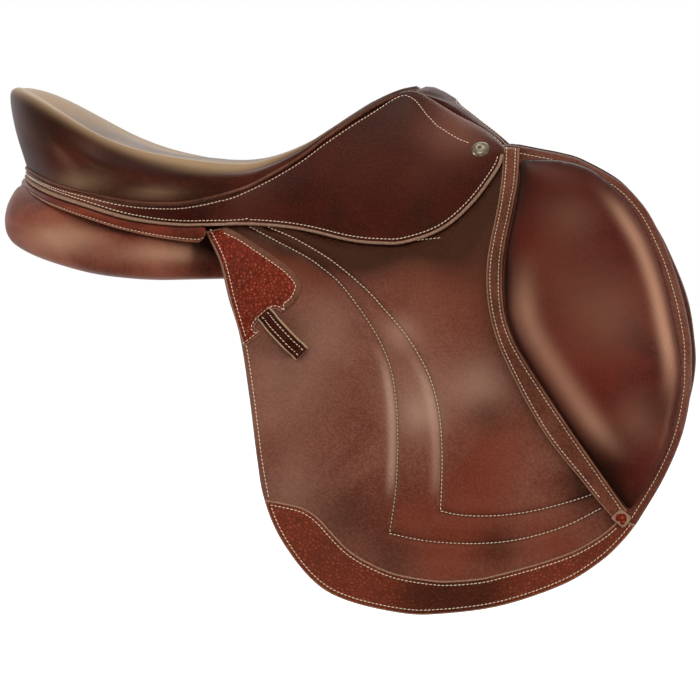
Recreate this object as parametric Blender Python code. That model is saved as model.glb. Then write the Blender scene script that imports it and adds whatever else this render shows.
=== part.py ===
"""Close-contact jumping saddle, modelled as the separate pieces that a saddler assembles.

Metres, +X forward to the pommel, +Y to the rider's left, +Z up. The origin is on the midline,
in the channel between the panels, under the deepest part of the seat.

The flap leathers are cut flat, as on a pattern sheet, and then draped: a flat piece has its
outline in x and z and its thickness in y, and drape() lays it on the rounded side of the horse.
Lists of points are in millimetres on that sheet. Everything else is in metres.
"""
import math

import bmesh
import bpy
from mathutils import Vector

MM = 0.001

# Overall sizes
SEAT_LENGTH = 0.376          # welt line, cantle to seat tip
SEAT_WIDTH = 0.276           # welt line at its widest
HEAD_REACH = 0.175           # seat tip ahead of the origin
WIDENS_FROM = 90.0           # millimetres behind the origin from which the seat has its full width
CANTLE_RISE = 0.064          # rim above the welt at the back
FLAP_REACH = 0.426           # flap's foremost point ahead of the origin
FLAP_DROP = 0.323            # flap's lowest point below the origin
PANEL_DEPTH = 0.034          # panel below the origin

# The drape of the flap leathers on each side
FOLD_X = -0.015              # rear end of the fold line of flap and skirt
FOLD_Z = 0.013
FOLD_SLOPE = 0.2575          # rise of the fold line to the front
DRAPE_HALF_WIDTH = 0.100     # flap's inner face from the midline at the fold's rear end
DRAPE_TAPER = 0.065          # narrowing to the front
DRAPE_SPLAY = 0.20
DRAPE_ROUND = 0.050          # extra half-width gained round the barrel
DRAPE_ROUND_LENGTH = 0.115
DRAPE_CUTS = [0.0, 0.020, 0.042, 0.066, 0.095, 0.130, 0.175, 0.235, 0.310, 0.400]

# Leather and fittings
FIT = 0.0003                 # gap kept between pieces that touch
COVER_THICKNESS = 0.0025
FOAM_THICKNESS = 0.010
FOAM_THIN_FROM = 0.150       # the foam thins out over the head
WELT_RADIUS = 0.0022
WELT_DROP = WELT_RADIUS + 0.0012   # from the seat cover's edge to the welt's middle
FLAP_THICKNESS = 0.004
TRIM_THICKNESS = 0.0018
STRIP_THICKNESS = 0.0022
SKIRT_THICKNESS = 0.004
SKIRT_STANDOFF = 0.0015      # air between flap and skirt
KNEE_PAD_RISE = 0.026
SWEAT_FLAP_OFFSET = 0.020    # room for the girth straps behind the flap
SWEAT_FLAP_THICKNESS = 0.004
BLOCK_CLEARANCE = 0.0005
PANEL_INNER = 0.038          # half the channel's width
PANEL_SHOULDER = 0.15        # share of a panel's height above its seam with the channel lining
CHANNEL_LINING_THICKNESS = 0.003
FACING_THICKNESS = 0.004
CANTLE_STRIP_THICKNESS = 0.005
NAIL_RADIUS = 0.0095
NAIL_RISE = 0.0042
BILLET_WIDTH = 0.026
BILLET_THICKNESS = 0.004
BILLET_LENGTH = 0.262
BILLET_HOLES = 8
BILLET_HOLE_PITCH = 0.022
BILLET_HOLE_RADIUS = 0.0026
BILLET_PITCH = 0.032
BILLET_FRONT_X = 0.165
BILLET_FIRST_HOLE = 0.078
WEB_WIDTH = 0.040
REAR_WEB_WIDTH = 0.054
SEAT_WEB_WIDTH = 0.024
CROSS_WEB_WIDTH = 0.036
WEB_THICKNESS = 0.002
TREE_THICKNESS = 0.009
HEAD_PLATE_THICKNESS = 0.004
HEAD_PLATE_WIDTH = 0.028
BAR_REAR_X = 0.128
BAR_LENGTH = 0.086
BAR_HEIGHT = 0.013
BAR_THICKNESS = 0.005
BAR_SLOT = 0.009             # room for the stirrup leather behind the bar
BAR_PLATE_THICKNESS = 0.004
BAR_DROP = 0.0045            # top of the bar below the fold line
BAR_UNDER_SKIRT = 0.0012     # air between the bar and the skirt
CATCH_LENGTH = 0.022
CATCH_THICKNESS = 0.003
CATCH_RADIUS = 0.0055
CATCH_PIN_RADIUS = 0.0019
CATCH_PIN_FROM_END = 0.0075
BAND_BELOW_WELT = 0.0024
BAND_REAR_BULGE = 0.0015
POMMEL_LIP = 0.007
POMMEL_CROWN = 0.0075        # swell of the pommel facing on the midline
FACING_CROWN = 0.003         # and at its sides
NAIL_X = 0.232
NAIL_ABOVE_FOLD = 0.0112
POINT_POCKET_WALL = 0.0014
POINT_POCKET_DEPTH = 0.020
BILLET_OFFSET = 0.008        # from the flap's inner face to the girth strap
BILLET_TOP_Z = 0.0
KEEPER_WIDTH = 0.013
KEEPER_THICKNESS = 0.0025
KEEPER_ROOM = 0.0072         # space under the keeper for the end of the stirrup leather

# Half the welt line, rear centre to front centre, and the rim above it
WELT = [(-201, 0, 75), (-197, 34, 73), (-184, 66, 67.5), (-168, 96, 61), (-148, 122, 55),
        (-118, 138, 48), (-90, 137, 42), (-62, 122, 39), (-31, 104, 40), (13, 87, 51),
        (40, 79, 64), (68, 70, 81), (90, 62, 98), (113, 55, 114), (135, 45, 128),
        (155, 32, 138), (170, 16, 143.5), (175, 0, 145)]
RIM = [(-207, 0, 143), (-205, 30, 143.5), (-193, 60, 141), (-176, 84, 135), (-151, 103, 123.5),
       (-113, 115, 105), (-80, 110, 93), (-50, 96, 85.5), (-22, 83, 80), (15, 68, 75),
       (42, 60, 79.5), (70, 54, 90.4), (93, 48, 105), (116, 41, 120), (138, 33, 133.5),
       (157, 22, 142.5), (168, 11, 146), (172, 0, 147)]
SIDE_BULGE = [14, 14, 13, 12, 11, 10, 9, 8, 6.5, 5.5, 5, 4.5, 4, 3.5, 3, 2.5, 2, 2]
SEAT_SPINE = [(-112, 0, 91), (-80, 0, 81), (-50, 0, 76), (-20, 0, 74), (12, 0, 75.5),
              (43, 0, 81), (81, 0, 98), (119, 0, 123), (136, 0, 133.5)]
SEAT_DISH = [0.28, 0.28, 0.28, 0.3, 0.3, 0.3, 0.3, 0.35, 0.6, 0.35,
             0.25, 0.25, 0.25, 0.25, 0.25, 0.3, 0.4, 0.5]
SEAT_STATIONS = 21
SEAT_RINGS = [0.0, 0.5, 1.0, 1.5, 2.0, 2.5, 3.2]

# Lower edge of the skirt's rear band, from the rear centre to where the fold line takes over
BAND_LOW = [(-205, 0, 63.5), (-201, 34, 62), (-189, 67, 57), (-172, 100, 50.5), (-151, 128, 44),
            (-119, 146, 35), (-90, 145, 26), (-63, 131, 20), (-36, 117.5, 16.5),
            (-14, 110, 16.5)]
LOBE_REAR_X = 0.035          # where the skirt's edge leaves the fold line
BAND_STATIONS_REAR = 12
BAND_STATIONS_FRONT = 12
POMMEL_EDGE = [(155, 32, 133), (178, 33, 133.5), (196, 36.5, 129), (212, 44, 120),
               (226, 53, 109.5), (240, 63, 98.5), (249, 71, 90.5), (253, 78, 86.5)]
SKIRT_LOBE = [(36, 26.2), (52, 21), (71, 15.5), (90, 9), (109, 4), (136, 0), (164, 2), (191, 12),
              (208, 25), (226, 43), (240, 62), (247, 74), (252.8, 81.6)]

CANTLE_STRIP_LOW = [(-206, 0, 57), (-202, 34, 55.5), (-190, 66, 51.5), (-173, 100, 42),
                    (-152, 129, 34), (-120, 147.5, 24), (-90, 146.5, 14.5), (-63, 132.5, 7.5),
                    (-36, 119.5, 2.5), (-16, 111.5, 0.5)]

POMMEL_BACK = [(175.5, 0, 139.1), (171, 12, 138.1), (164, 23, 134.6), (172, 27, 132),
               (190, 29, 128.5), (206, 35.5, 121.5), (221, 43.5, 111), (236, 54, 99),
               (245, 61.5, 91.5), (250, 66.5, 86.5)]
POMMEL_FRONT = [(214, 0, 126.5), (215, 8, 126), (217, 15, 125), (220, 21, 122.5), (226, 28, 117.5),
                (233, 35.5, 111.5), (240.5, 44, 105.5), (249, 54, 98.5), (258, 64, 91),
                (264, 71, 85)]

# Flap leathers on the pattern sheet
FLAP_REAR = [(-13.5, 8.5), (-1.5, -16), (8.3, -49), (20.2, -84), (30.2, -136), (38.4, -189),
             (45.5, -224), (61.5, -259.5), (90.5, -295)]
FLAP_BOTTOM = [(90.5, -295), (121, -312), (169, -322.5), (204, -323), (257.5, -315.5), (312, -297),
               (345, -277), (365, -258.5), (378, -242.5)]
KNEE_EDGE = [(378, -242.5), (400.5, -205), (416.5, -168.5), (424.5, -133), (426, -107), (425, -81),
             (418, -46), (407, -11), (392, 22), (379, 41), (361, 58), (328, 76), (303, 82),
             (285, 83), (268, 81)]
FLAP_TOP = [(268, 81), (240, 73.8)]
BAR_NOTCH = [(240, 73.8), (232, 60), (218, 42), (190, 27), (150, 17), (122, 13), (110, 19),
             (105, 38.5)]
TRIM_TOP = [(45, -219), (66, -228), (84, -238), (106, -258), (133, -280), (169, -291),
            (204, -295), (248, -292), (283, -284), (323, -266), (358, -242)]
STRIP_PAD_SIDE = [(264, 76.5), (263, 59), (254, 14), (249, -39), (260, -91), (282, -135),
                  (309, -170), (345, -213), (362, -231)]
STRIP_FLAP_SIDE = [(346, -236), (331, -219), (293, -177), (264, -139), (242, -93), (233, -39),
                   (238, 14), (249.5, 57), (252, 70)]
KNEE_PAD = [(268, 74), (267, 59), (258.5, 14), (253.5, -39), (264, -89), (286, -132), (313, -167),
            (347, -204), (362, -211), (382, -191), (400, -162), (409, -130), (412, -106),
            (411, -82), (404, -49), (393.5, -16), (379, 14), (367, 31), (351, 46), (323, 63),
            (300, 70.5), (284, 73)]
PATCH = [(-12.5, 5.5), (20, 13.5), (33, 6), (52, -13), (72, -34), (73.5, -45), (62, -56),
         (41, -68), (25, -82)]
KEEPER_ENDS = [(37, -61), (76, -94)]
CORNER_TAB = [(351, -219), (361, -221), (371, -230), (369, -238), (356, -237), (347, -228)]
SWEAT_FLAP = [(-8, 6), (60, 4), (120, 9), (170, 17), (212, 29), (240, 50), (258, 66), (285, 74),
              (330, 69), (368, 48), (394, 18), (411, -15), (424, -50), (429.5, -85),
              (430, -110), (424, -140), (410, -172), (385, -210), (352, -243), (310, -268),
              (257, -286), (200, -293), (140, -284), (96, -259), (66, -222), (54, -180),
              (44, -130), (32, -84), (20, -46), (8, -16)]
KNEE_BLOCK = [(296, 48), (326, 50), (352, 30), (372, -8), (386, -60), (388, -110), (376, -160),
              (352, -188), (336, -176), (346, -130), (350, -84), (338, -36), (316, 2), (296, 26)]
THIGH_BLOCK = [(44, -62), (55, -60), (62, -92), (68, -140), (73, -182), (69, -194), (59, -187),
               (51, -144), (45, -100)]

# Panel stations: x, inner y, outer y, bottom z, top z at the outside, top z at the inside
PANEL = [(-206.5, 50, 78, 23, 43, 45), (-203.5, 42, 92, 9, 48, 50), (-194, 38, 108, -2, 48, 49),
         (-176, 38, 128, -11, 38, 46), (-152, 38, 144, -20, 30, 46), (-120, 38, 151, -28, 21, 44),
         (-90, 38, 149, -32, 12.5, 38), (-62, 38, 137, -34, 6, 30), (-36, 38, 120, -34, 1.5, 24),
         (-8, 38, 0, -34, -2, 22), (30, 38, 0, -33, 1, 24), (75, 39, 0, -31, 4, 28),
         (120, 41, 0, -29, 9, 34), (160, 44, 0, -28, 14, 38), (195, 48, 0, -30, 18, 36),
         (225, 52, 0, -34, 16, 26), (246, 58, 0, -30, 2, 10)]
PANEL_OUTER_RELIEF = [(-40, 24.5), (150, 24.5), (180, 30), (200, 38.5), (260, 38.5)]

# Tree stations: inner (upper) edge and outer (lower) edge of the rail, rear centre to head
TREE_INNER = [(-175, 0, 97), (-169, 36, 97), (-151, 64, 92), (-124, 82, 79), (-90, 80, 62),
              (-50, 68, 55), (0, 54, 53), (50, 43, 62), (95, 34, 84), (135, 29, 104),
              (162, 22, 115), (166, 11, 119), (167, 0, 120)]
TREE_OUTER = [(-189, 0, 66), (-183, 40, 64), (-167, 78, 58), (-140, 106, 49), (-98, 117, 41),
              (-54, 104, 33), (0, 88, 31), (50, 80, 36), (95, 77, 43.5), (135, 77.3, 48.5),
              (176, 73.3, 58.5), (203, 30, 104), (205, 0, 115)]
TREE_STATIONS = 19

HEAD_ARCH = [(193, 0, 104.5), (198, 24, 98), (207, 46, 80), (217, 65, 54), (223, 80, 27),
             (226, 90, 4)]


def metres(point):
    return Vector([value * MM for value in point])


def at(points, place, mirrored=False):
    """Point at a place, counted in control points, on the smooth curve through points."""
    last = len(points) - 1
    index = min(int(place), last - 1)
    part = place - index

    def pick(i):
        if 0 <= i <= last:
            return Vector(points[i])
        inner = Vector(points[-i] if i < 0 else points[2 * last - i])
        if mirrored:
            return Vector((inner.x, -inner.y, inner.z))
        return 2 * Vector(points[0 if i < 0 else last]) - inner

    a, b, c, d = pick(index - 1), pick(index), pick(index + 1), pick(index + 2)
    return 0.5 * (2 * b + (c - a) * part + (2 * a - 5 * b + 4 * c - d) * part ** 2
                  + (3 * b - a - 3 * c + d) * part ** 3)


def value_at(values, place):
    """Straight interpolation in a list of numbers."""
    index = min(int(place), len(values) - 2)
    return values[index] + (values[index + 1] - values[index]) * (place - index)


def curve(points, step=14.0):
    """Points about one step apart, in millimetres, on the smooth curve through points."""
    result = [Vector(points[0])]
    for index in range(len(points) - 1):
        span = (Vector(points[index + 1]) - Vector(points[index])).length
        count = max(1, round(span / step))
        result += [at(points, index + k / count) for k in range(1, count + 1)]
    return result


def loop_curve(points, step=14.0):
    """The same round a closed outline."""
    count = len(points)
    wrapped = [points[-1]] + list(points) + points[:2]
    result = []
    for index in range(1, count + 1):
        span = (Vector(wrapped[index + 1]) - Vector(wrapped[index])).length
        steps = max(1, round(span / step))
        result += [at(wrapped, index + k / steps) for k in range(steps)]
    return result


def seat_point(point):
    """A pattern point of the seat, stretched to the seat's length and width.

    Only the back part stretches. The head stays with the flaps and stirrup bars that hang on it.
    """
    x, y, z = point
    if x < 0:
        y *= 1 + (SEAT_WIDTH / 0.276 - 1) * min(-x / WIDENS_FROM, 1.0)
        x *= (SEAT_LENGTH - HEAD_REACH) / (0.376 - HEAD_REACH)
    return Vector((x * MM, y * MM, z * MM))


def flap_point(point):
    """A pattern point of the flap, stretched to the flap's reach and drop."""
    x, z = point
    if x > 0:
        x *= FLAP_REACH / 0.426
    if z < 0:
        z *= FLAP_DROP / 0.323
    return Vector((x * MM, 0.0, z * MM))


def fold_height(x):
    return FOLD_Z + FOLD_SLOPE * (x - FOLD_X)


def drape_rise(depth):
    """Half-width gained at a depth below the fold line, straight between the drape cuts."""
    def smooth(t):
        return DRAPE_SPLAY * t + DRAPE_ROUND * (1 - math.exp(-t / DRAPE_ROUND_LENGTH))
    if depth <= DRAPE_CUTS[1]:
        first, second = DRAPE_CUTS[0], DRAPE_CUTS[1]
    else:
        later = [cut for cut in DRAPE_CUTS if cut >= depth] or [DRAPE_CUTS[-1]]
        second = later[0]
        first = DRAPE_CUTS[max(DRAPE_CUTS.index(second) - 1, 0)]
    slope = (smooth(second) - smooth(first)) / (second - first)
    return smooth(first) + slope * (depth - first)


def drape_y(x, z):
    """Distance of the flap's inner face from the midline."""
    depth = fold_height(x) - z
    return DRAPE_HALF_WIDTH - DRAPE_TAPER * (x - FOLD_X) + drape_rise(depth)


SKIRT_INNER = FLAP_THICKNESS + SKIRT_STANDOFF
SKIRT_OUTER = SKIRT_INNER + SKIRT_THICKNESS


def fold_point(x, side):
    """A point of the fold line, on the outer face of the skirt."""
    z = fold_height(x)
    return Vector((x, side * (drape_y(x, z) + SKIRT_OUTER), z))


def material(name, colour, roughness, metallic=0.0):
    """A Principled material of one colour."""
    made = bpy.data.materials.get(name) or bpy.data.materials.new(name)
    made.use_nodes = True
    shader = made.node_tree.nodes["Principled BSDF"]
    shader.inputs["Base Color"].default_value = (*colour, 1.0)
    shader.inputs["Roughness"].default_value = roughness
    shader.inputs["Metallic"].default_value = metallic
    made.diffuse_color = (*colour, 1.0)
    return made


def seat_leather():
    return material("seat leather", (0.115, 0.036, 0.018), 0.32)


def skirt_leather():
    return material("skirt leather", (0.060, 0.013, 0.010), 0.38)


def flap_leather():
    return material("flap leather", (0.085, 0.030, 0.020), 0.50)


def pebbled_leather():
    return material("pebbled leather", (0.110, 0.020, 0.012), 0.48)


def lining_leather():
    return material("lining leather", (0.075, 0.028, 0.018), 0.60)


def girth_leather():
    return material("girth leather", (0.070, 0.026, 0.016), 0.55)


def web():
    return material("nylon web", (0.35, 0.33, 0.29), 0.85)


def foam():
    return material("foam", (0.62, 0.56, 0.40), 0.95)


def tree_wood():
    return material("laminated beech", (0.45, 0.30, 0.17), 0.60)


def steel():
    return material("forged steel", (0.42, 0.42, 0.43), 0.35, 1.0)


def chrome():
    return material("chrome", (0.72, 0.72, 0.73), 0.12, 1.0)


def finish(name, mesh_data, look, parent=None, smooth_angle=40.0):
    """Merge, point the faces out, and place the mesh under its parent's origin."""
    bmesh.ops.remove_doubles(mesh_data, verts=mesh_data.verts, dist=1e-6)
    bmesh.ops.dissolve_degenerate(mesh_data, edges=mesh_data.edges, dist=1e-6)
    bmesh.ops.recalc_face_normals(mesh_data, faces=mesh_data.faces)
    if parent:
        bmesh.ops.translate(mesh_data, verts=mesh_data.verts, vec=-parent.location)
    mesh = bpy.data.meshes.new(name)
    mesh_data.to_mesh(mesh)
    mesh_data.free()
    mesh.shade_smooth()
    mesh.set_sharp_from_angle(angle=math.radians(smooth_angle))
    mesh.materials.append(look)
    made = bpy.data.objects.new(name, mesh)
    bpy.context.collection.objects.link(made)
    made.parent = parent
    return made


def pivot(name, place):
    """An empty on a joint's axis, which carries the pieces that move with it."""
    empty = bpy.data.objects.new(name, None)
    empty.empty_display_size = 0.02
    empty.location = place
    bpy.context.collection.objects.link(empty)
    return empty


def add_faces(mesh_data, rows, closed_columns=False, closed_rows=False):
    """Quads between rows of points. Returns the rows of vertices."""
    made = [[mesh_data.verts.new(point) for point in row] for row in rows]
    row_count = len(made) if closed_rows else len(made) - 1
    for i in range(row_count):
        here, after = made[i], made[(i + 1) % len(made)]
        column_count = len(here) if closed_columns else len(here) - 1
        for k in range(column_count):
            n = (k + 1) % len(here)
            mesh_data.faces.new((here[k], here[n], after[n], after[k]))
    return made


def loft(sections, ring=False):
    """A closed body through closed sections, with flat ends or joined up as a ring."""
    mesh_data = bmesh.new()
    rows = add_faces(mesh_data, sections, closed_columns=True, closed_rows=ring)
    if not ring:
        mesh_data.faces.new(reversed(rows[0]))
        mesh_data.faces.new(rows[-1])
    return mesh_data


def thicken(mesh_data, near, far, dropped=()):
    """Turn an open surface into a closed shell between two offsets along its normals.

    Dropped are points of the surface that the shell leaves out. Far is one distance, or a
    function of a point.
    """
    mesh_data.normal_update()
    normals = {vert: vert.normal.copy() for vert in mesh_data.verts}
    gone = [vert for vert in mesh_data.verts
            if any((vert.co - point).length < 1e-6 for point in dropped)]
    for vert in gone:
        del normals[vert]
    bmesh.ops.delete(mesh_data, geom=gone, context="VERTS")
    before = list(mesh_data.verts)
    places = [vert.co.copy() for vert in before]
    edges = [edge for edge in mesh_data.edges if edge.is_boundary]
    pairs = [(edge.verts[0], edge.verts[1]) for edge in edges]
    copies = {}
    for vert, place in zip(before, places):
        reach = far(place) if callable(far) else far
        vert.co = place + normals[vert] * near
        copies[vert] = mesh_data.verts.new(place + normals[vert] * reach)
    for face in list(mesh_data.faces):
        mesh_data.faces.new([copies[vert] for vert in reversed(face.verts)])
    for first, second in pairs:
        mesh_data.faces.new((first, second, copies[second], copies[first]))
    return mesh_data


def plate(outline, low, high, shrink=0.0):
    """A flat leather piece on the pattern sheet, its upper edge drawn in by shrink."""
    mesh_data = bmesh.new()
    bottom = [mesh_data.verts.new((p.x, low, p.z)) for p in outline]
    top = [mesh_data.verts.new((p.x, high, p.z)) for p in outline]
    count = len(outline)
    mesh_data.faces.new(bottom)
    lid = mesh_data.faces.new(list(reversed(top)))
    for k in range(count):
        n = (k + 1) % count
        mesh_data.faces.new((bottom[n], bottom[k], top[k], top[n]))
    if shrink:
        mesh_data.normal_update()
        bmesh.ops.inset_region(mesh_data, faces=[lid], thickness=shrink, use_even_offset=True)
        for vert in top:
            vert.co.y = high - shrink
    bmesh.ops.recalc_face_normals(mesh_data, faces=mesh_data.faces)
    return mesh_data


def drape(mesh_data, side, cut=True):
    """Lay a flat piece on the side of the horse: side is -1 for the right and 1 for the left."""
    across = Vector((FOLD_SLOPE, 0.0, -1.0)).normalized()
    if cut:
        for depth in DRAPE_CUTS:
            place = Vector((FOLD_X, 0.0, FOLD_Z - depth))
            bmesh.ops.bisect_plane(mesh_data, geom=mesh_data.verts[:] + mesh_data.edges[:]
                                   + mesh_data.faces[:], dist=2e-5, plane_co=place,
                                   plane_no=across)
    for vert in mesh_data.verts:
        vert.co.y = side * (drape_y(vert.co.x, vert.co.z) + vert.co.y)
    return mesh_data


def dome(outline, low, rings):
    """A padded piece on the pattern sheet: rings are (share of the outline, height)."""
    mesh_data = bmesh.new()
    centre = sum(outline, Vector()) / len(outline)
    base = [mesh_data.verts.new((p.x, low, p.z)) for p in outline]
    mesh_data.faces.new(base)
    before = base
    for share, height in rings:
        ring = []
        for p in outline:
            q = centre + (p - centre) * share
            ring.append(mesh_data.verts.new((q.x, low + height, q.z)))
        for k in range(len(ring)):
            n = (k + 1) % len(ring)
            mesh_data.faces.new((before[n], before[k], ring[k], ring[n]))
        before = ring
    mesh_data.faces.new(list(reversed(before)))
    bmesh.ops.recalc_face_normals(mesh_data, faces=mesh_data.faces)
    return mesh_data


def seat_rows():
    """Rows from the welt line over the rim to the seat's spine, all round the seat."""
    last = len(WELT) - 1
    half = []
    for step in range(SEAT_STATIONS):
        place = step * last / (SEAT_STATIONS - 1)
        low = at(WELT, place, mirrored=True)
        rim = at(RIM, place, mirrored=True)
        rim.z = low.z + (rim.z - low.z) * CANTLE_RISE / 0.064
        first, final = SEAT_SPINE[0][0], SEAT_SPINE[-1][0]
        spine = spine_point(min(max(rim.x, first), final))
        out = Vector((low.x - spine.x, low.y, 0)).normalized()
        side = low.lerp(rim, 0.45) + out * value_at(SIDE_BULGE, place)
        middle = rim.lerp(spine, 0.5)
        middle.z = spine.z + (rim.z - spine.z) * value_at(SEAT_DISH, place)
        profile = [tuple(low), tuple(side), tuple(rim), tuple(middle), tuple(spine)]
        row = [at(profile, ring) for ring in SEAT_RINGS] + [spine]
        half.append([seat_point(point) for point in row])
    other = [[Vector((p.x, -p.y, p.z)) for p in row] for row in half[-2:0:-1]]
    return half + other


def spine_point(x):
    """The seat's centre line at x, in pattern millimetres."""
    for index in range(len(SEAT_SPINE) - 1):
        first, second = SEAT_SPINE[index], SEAT_SPINE[index + 1]
        if first[0] <= x <= second[0]:
            place = at(SEAT_SPINE, index + (x - first[0]) / (second[0] - first[0]))
            return Vector((x, 0, place.z))
    return Vector(SEAT_SPINE[0])


def seat_surface():
    mesh_data = bmesh.new()
    add_faces(mesh_data, seat_rows(), closed_rows=True)
    bmesh.ops.remove_doubles(mesh_data, verts=mesh_data.verts, dist=1e-6)
    bmesh.ops.dissolve_degenerate(mesh_data, edges=mesh_data.edges, dist=1e-6)
    bmesh.ops.recalc_face_normals(mesh_data, faces=mesh_data.faces)
    mesh_data.normal_update()
    if sum(face.normal.z * face.calc_area() for face in mesh_data.faces) < 0:
        bmesh.ops.reverse_faces(mesh_data, faces=mesh_data.faces)
    bmesh.ops.triangulate(mesh_data, faces=mesh_data.faces)
    return mesh_data


def seat_cover():
    """The moulded seat leather, open underneath."""
    finish("seat_cover", thicken(seat_surface(), 0.0, -COVER_THICKNESS), seat_leather())


def seat_foam():
    """The foam layer between the cover and the tree."""
    near = COVER_THICKNESS + FIT
    rows = seat_rows()
    rim = SEAT_RINGS.index(1.0)
    outside = [point for row in rows for point in row[:rim]]
    edge = [row[rim] for row in rows]
    next_edge = [row[rim + 1] for row in rows]

    def depth(place):
        share = 1.0
        if min((place - point).length for point in edge) < 1e-6:
            share = 0.15
        elif min((place - point).length for point in next_edge) < 1e-6:
            share = 0.6
        if place.x > FOAM_THIN_FROM:
            share *= 0.4
        return -near - FOAM_THICKNESS * share

    finish("seat_foam", thicken(seat_surface(), -near, depth, outside), foam())


def seat_welt():
    """Piping in the seam under the seat cover's edge."""
    rows = seat_rows()
    line = [row[0] for row in rows]
    count = len(line)
    sections = []
    for k in range(count):
        along = (line[(k + 1) % count] - line[k - 1]).normalized()
        out = Vector((along.y, -along.x, 0)).normalized()
        up = along.cross(out).normalized()
        if up.z < 0:
            up = -up
        centre = line[k] - Vector((0, 0, WELT_DROP))
        sections.append([centre + WELT_RADIUS * (math.cos(a) * out + math.sin(a) * up)
                         for a in (2 * math.pi * i / 6 for i in range(6))])
    finish("seat_welt", loft(sections, ring=True), seat_leather())


def band_lines(side):
    """Upper and lower edge points of the fixed skirt band, from the rear to the pommel."""
    under = Vector((0, 0, WELT_DROP + WELT_RADIUS + BAND_BELOW_WELT))
    upper, lower = [], []
    last = len(WELT) - 1
    for k in range(BAND_STATIONS_REAR):
        place = (len(BAND_LOW) - 1) * k / (BAND_STATIONS_REAR - 1)
        low = at(BAND_LOW, place, mirrored=(place < 1))
        upper.append(seat_point(at(WELT, welt_place(low.x, place, last), mirrored=True)) - under)
        lower.append(seat_point(low))
    corner = fold_point(LOBE_REAR_X, 1) + Vector((0, 0, FIT / 2))
    edge = [seat_point(at(WELT, welt_place(LOBE_REAR_X / MM, last, last))) - under]
    edge += [seat_point(p) - under for p in WELT[10:15]]
    edge += [seat_point(p) for p in POMMEL_EDGE]
    upper.append(edge[0])
    lower.append(corner)
    for k in range(1, BAND_STATIONS_FRONT + 1):
        place = (len(edge) - 1) * k / BAND_STATIONS_FRONT
        top = at(edge, place)
        low = fold_point(top.x, 1)
        low.z += FIT / 2
        upper.append(top)
        lower.append(low)
    for line in (upper, lower):
        for point in line:
            point.y = side * max(point.y, FIT / 2)
    return upper, lower


def welt_place(x, place, last):
    """Where on the welt line a band station hangs from: round the back by count, then by x."""
    if place <= 6:
        return place
    for index in range(5, last):
        first, second = WELT[index][0], WELT[index + 1][0]
        if first <= x <= second:
            return index + (x - first) / (second - first)
    return place


def band_profile(top, low, side, tangent):
    """The band's outer face at one station, as a function from its top (0) to its foot (1)."""
    drop = top.z - low.z
    run = side * (low.y - top.y)
    normal = Vector((0, side * drop, run)).normalized()
    bulge = BAND_REAR_BULGE
    if tangent:
        slope = drape_rise(DRAPE_CUTS[1]) / DRAPE_CUTS[1]
        bulge = max((run - slope * drop) / (side * normal.y + slope * normal.z) / 4, 0.0)

    def place(share):
        return top.lerp(low, share) + normal * (4 * bulge * share * (1 - share))
    return place


def skirt_band(side, name):
    """The part of the skirt that is nailed down: from the seat's welt to the fold line."""
    upper, lower = band_lines(side)
    shares = [0.0, 0.3, 0.65, 1.0]
    sections = []
    for index, (top, low) in enumerate(zip(upper, lower)):
        place = band_profile(top, low, side, index >= BAND_STATIONS_REAR)
        inward = inward_at(low, side, index) * SKIRT_THICKNESS
        outer = [place(share) for share in shares]
        sections.append(outer + [point + inward for point in reversed(outer)])
    finish(name, loft(sections), skirt_leather())


def inward_at(low, side, index):
    """Level direction into the saddle: towards the spine at the back, straight in elsewhere."""
    if index == 0:
        return Vector((1, 0, 0))
    if index >= BAND_STATIONS_REAR - 2:
        return Vector((0, -side, 0))
    x = max(seat_point(SEAT_SPINE[0]).x, low.x)
    return Vector((x - low.x, -low.y, 0)).normalized()


def skirt_lobe(side, name, parent):
    """The lobe that lifts off the stirrup bar, hinged on the fold line."""
    outline = [flap_free(p) for p in curve(SKIRT_LOBE, 13.0)]
    top = []
    for k in range(9):
        x = outline[-1].x + (outline[0].x - outline[-1].x) * k / 8
        top.append(Vector((x, 0, fold_height(x) - FIT / 2)))
    lobe = plate(outline[1:-1] + top, SKIRT_INNER, SKIRT_OUTER)
    finish(name, drape(lobe, side), skirt_leather(), parent)


def flap_free(point):
    return Vector((point[0] * MM, 0, point[1] * MM))


def flap_outline():
    parts = [curve(FLAP_REAR, 16), curve(FLAP_BOTTOM, 18)[1:], curve(KNEE_EDGE, 18)[1:]]
    outline = [flap_point(p) for part in parts for p in part]
    outline += [flap_free(p) for p in curve(FLAP_TOP, 30)[1:]]
    outline += [flap_free(p) for p in curve(BAR_NOTCH, 14)[1:]]
    outline += [flap_free((60, 27.5)), flap_free((20, 17.5))]
    return outline


def flap(side, name, parent):
    """The main flap leather, with a notch round the stirrup bar."""
    finish(name, drape(plate(flap_outline(), 0.0, FLAP_THICKNESS, 0.0008), side),
           flap_leather(), parent)


def bottom_trim(side, name, parent):
    """The pebbled wear strip sewn along the flap's lower edge."""
    low = FLAP_THICKNESS + FIT
    lower = [flap_point(p) for p in curve(FLAP_REAR[6:], 16) + curve(FLAP_BOTTOM, 18)[1:-1]]
    upper = [flap_point(p) for p in reversed(curve(TRIM_TOP, 16))]
    lower[0] = flap_point((46.5, -223))
    outline = lower + [flap_point((366, -249))] + upper
    finish(name, drape(plate(outline, low, low + TRIM_THICKNESS, 0.0005), side),
           pebbled_leather(), parent)


def front_strip(side, name, parent):
    """The sewn strip between the flap's field and the knee pad."""
    low = FLAP_THICKNESS + FIT
    outline = [flap_point(p) for p in curve(STRIP_PAD_SIDE, 18) + curve(STRIP_FLAP_SIDE, 18)]
    finish(name, drape(plate(outline, low, low + STRIP_THICKNESS, 0.0006), side),
           flap_leather(), parent)


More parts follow.
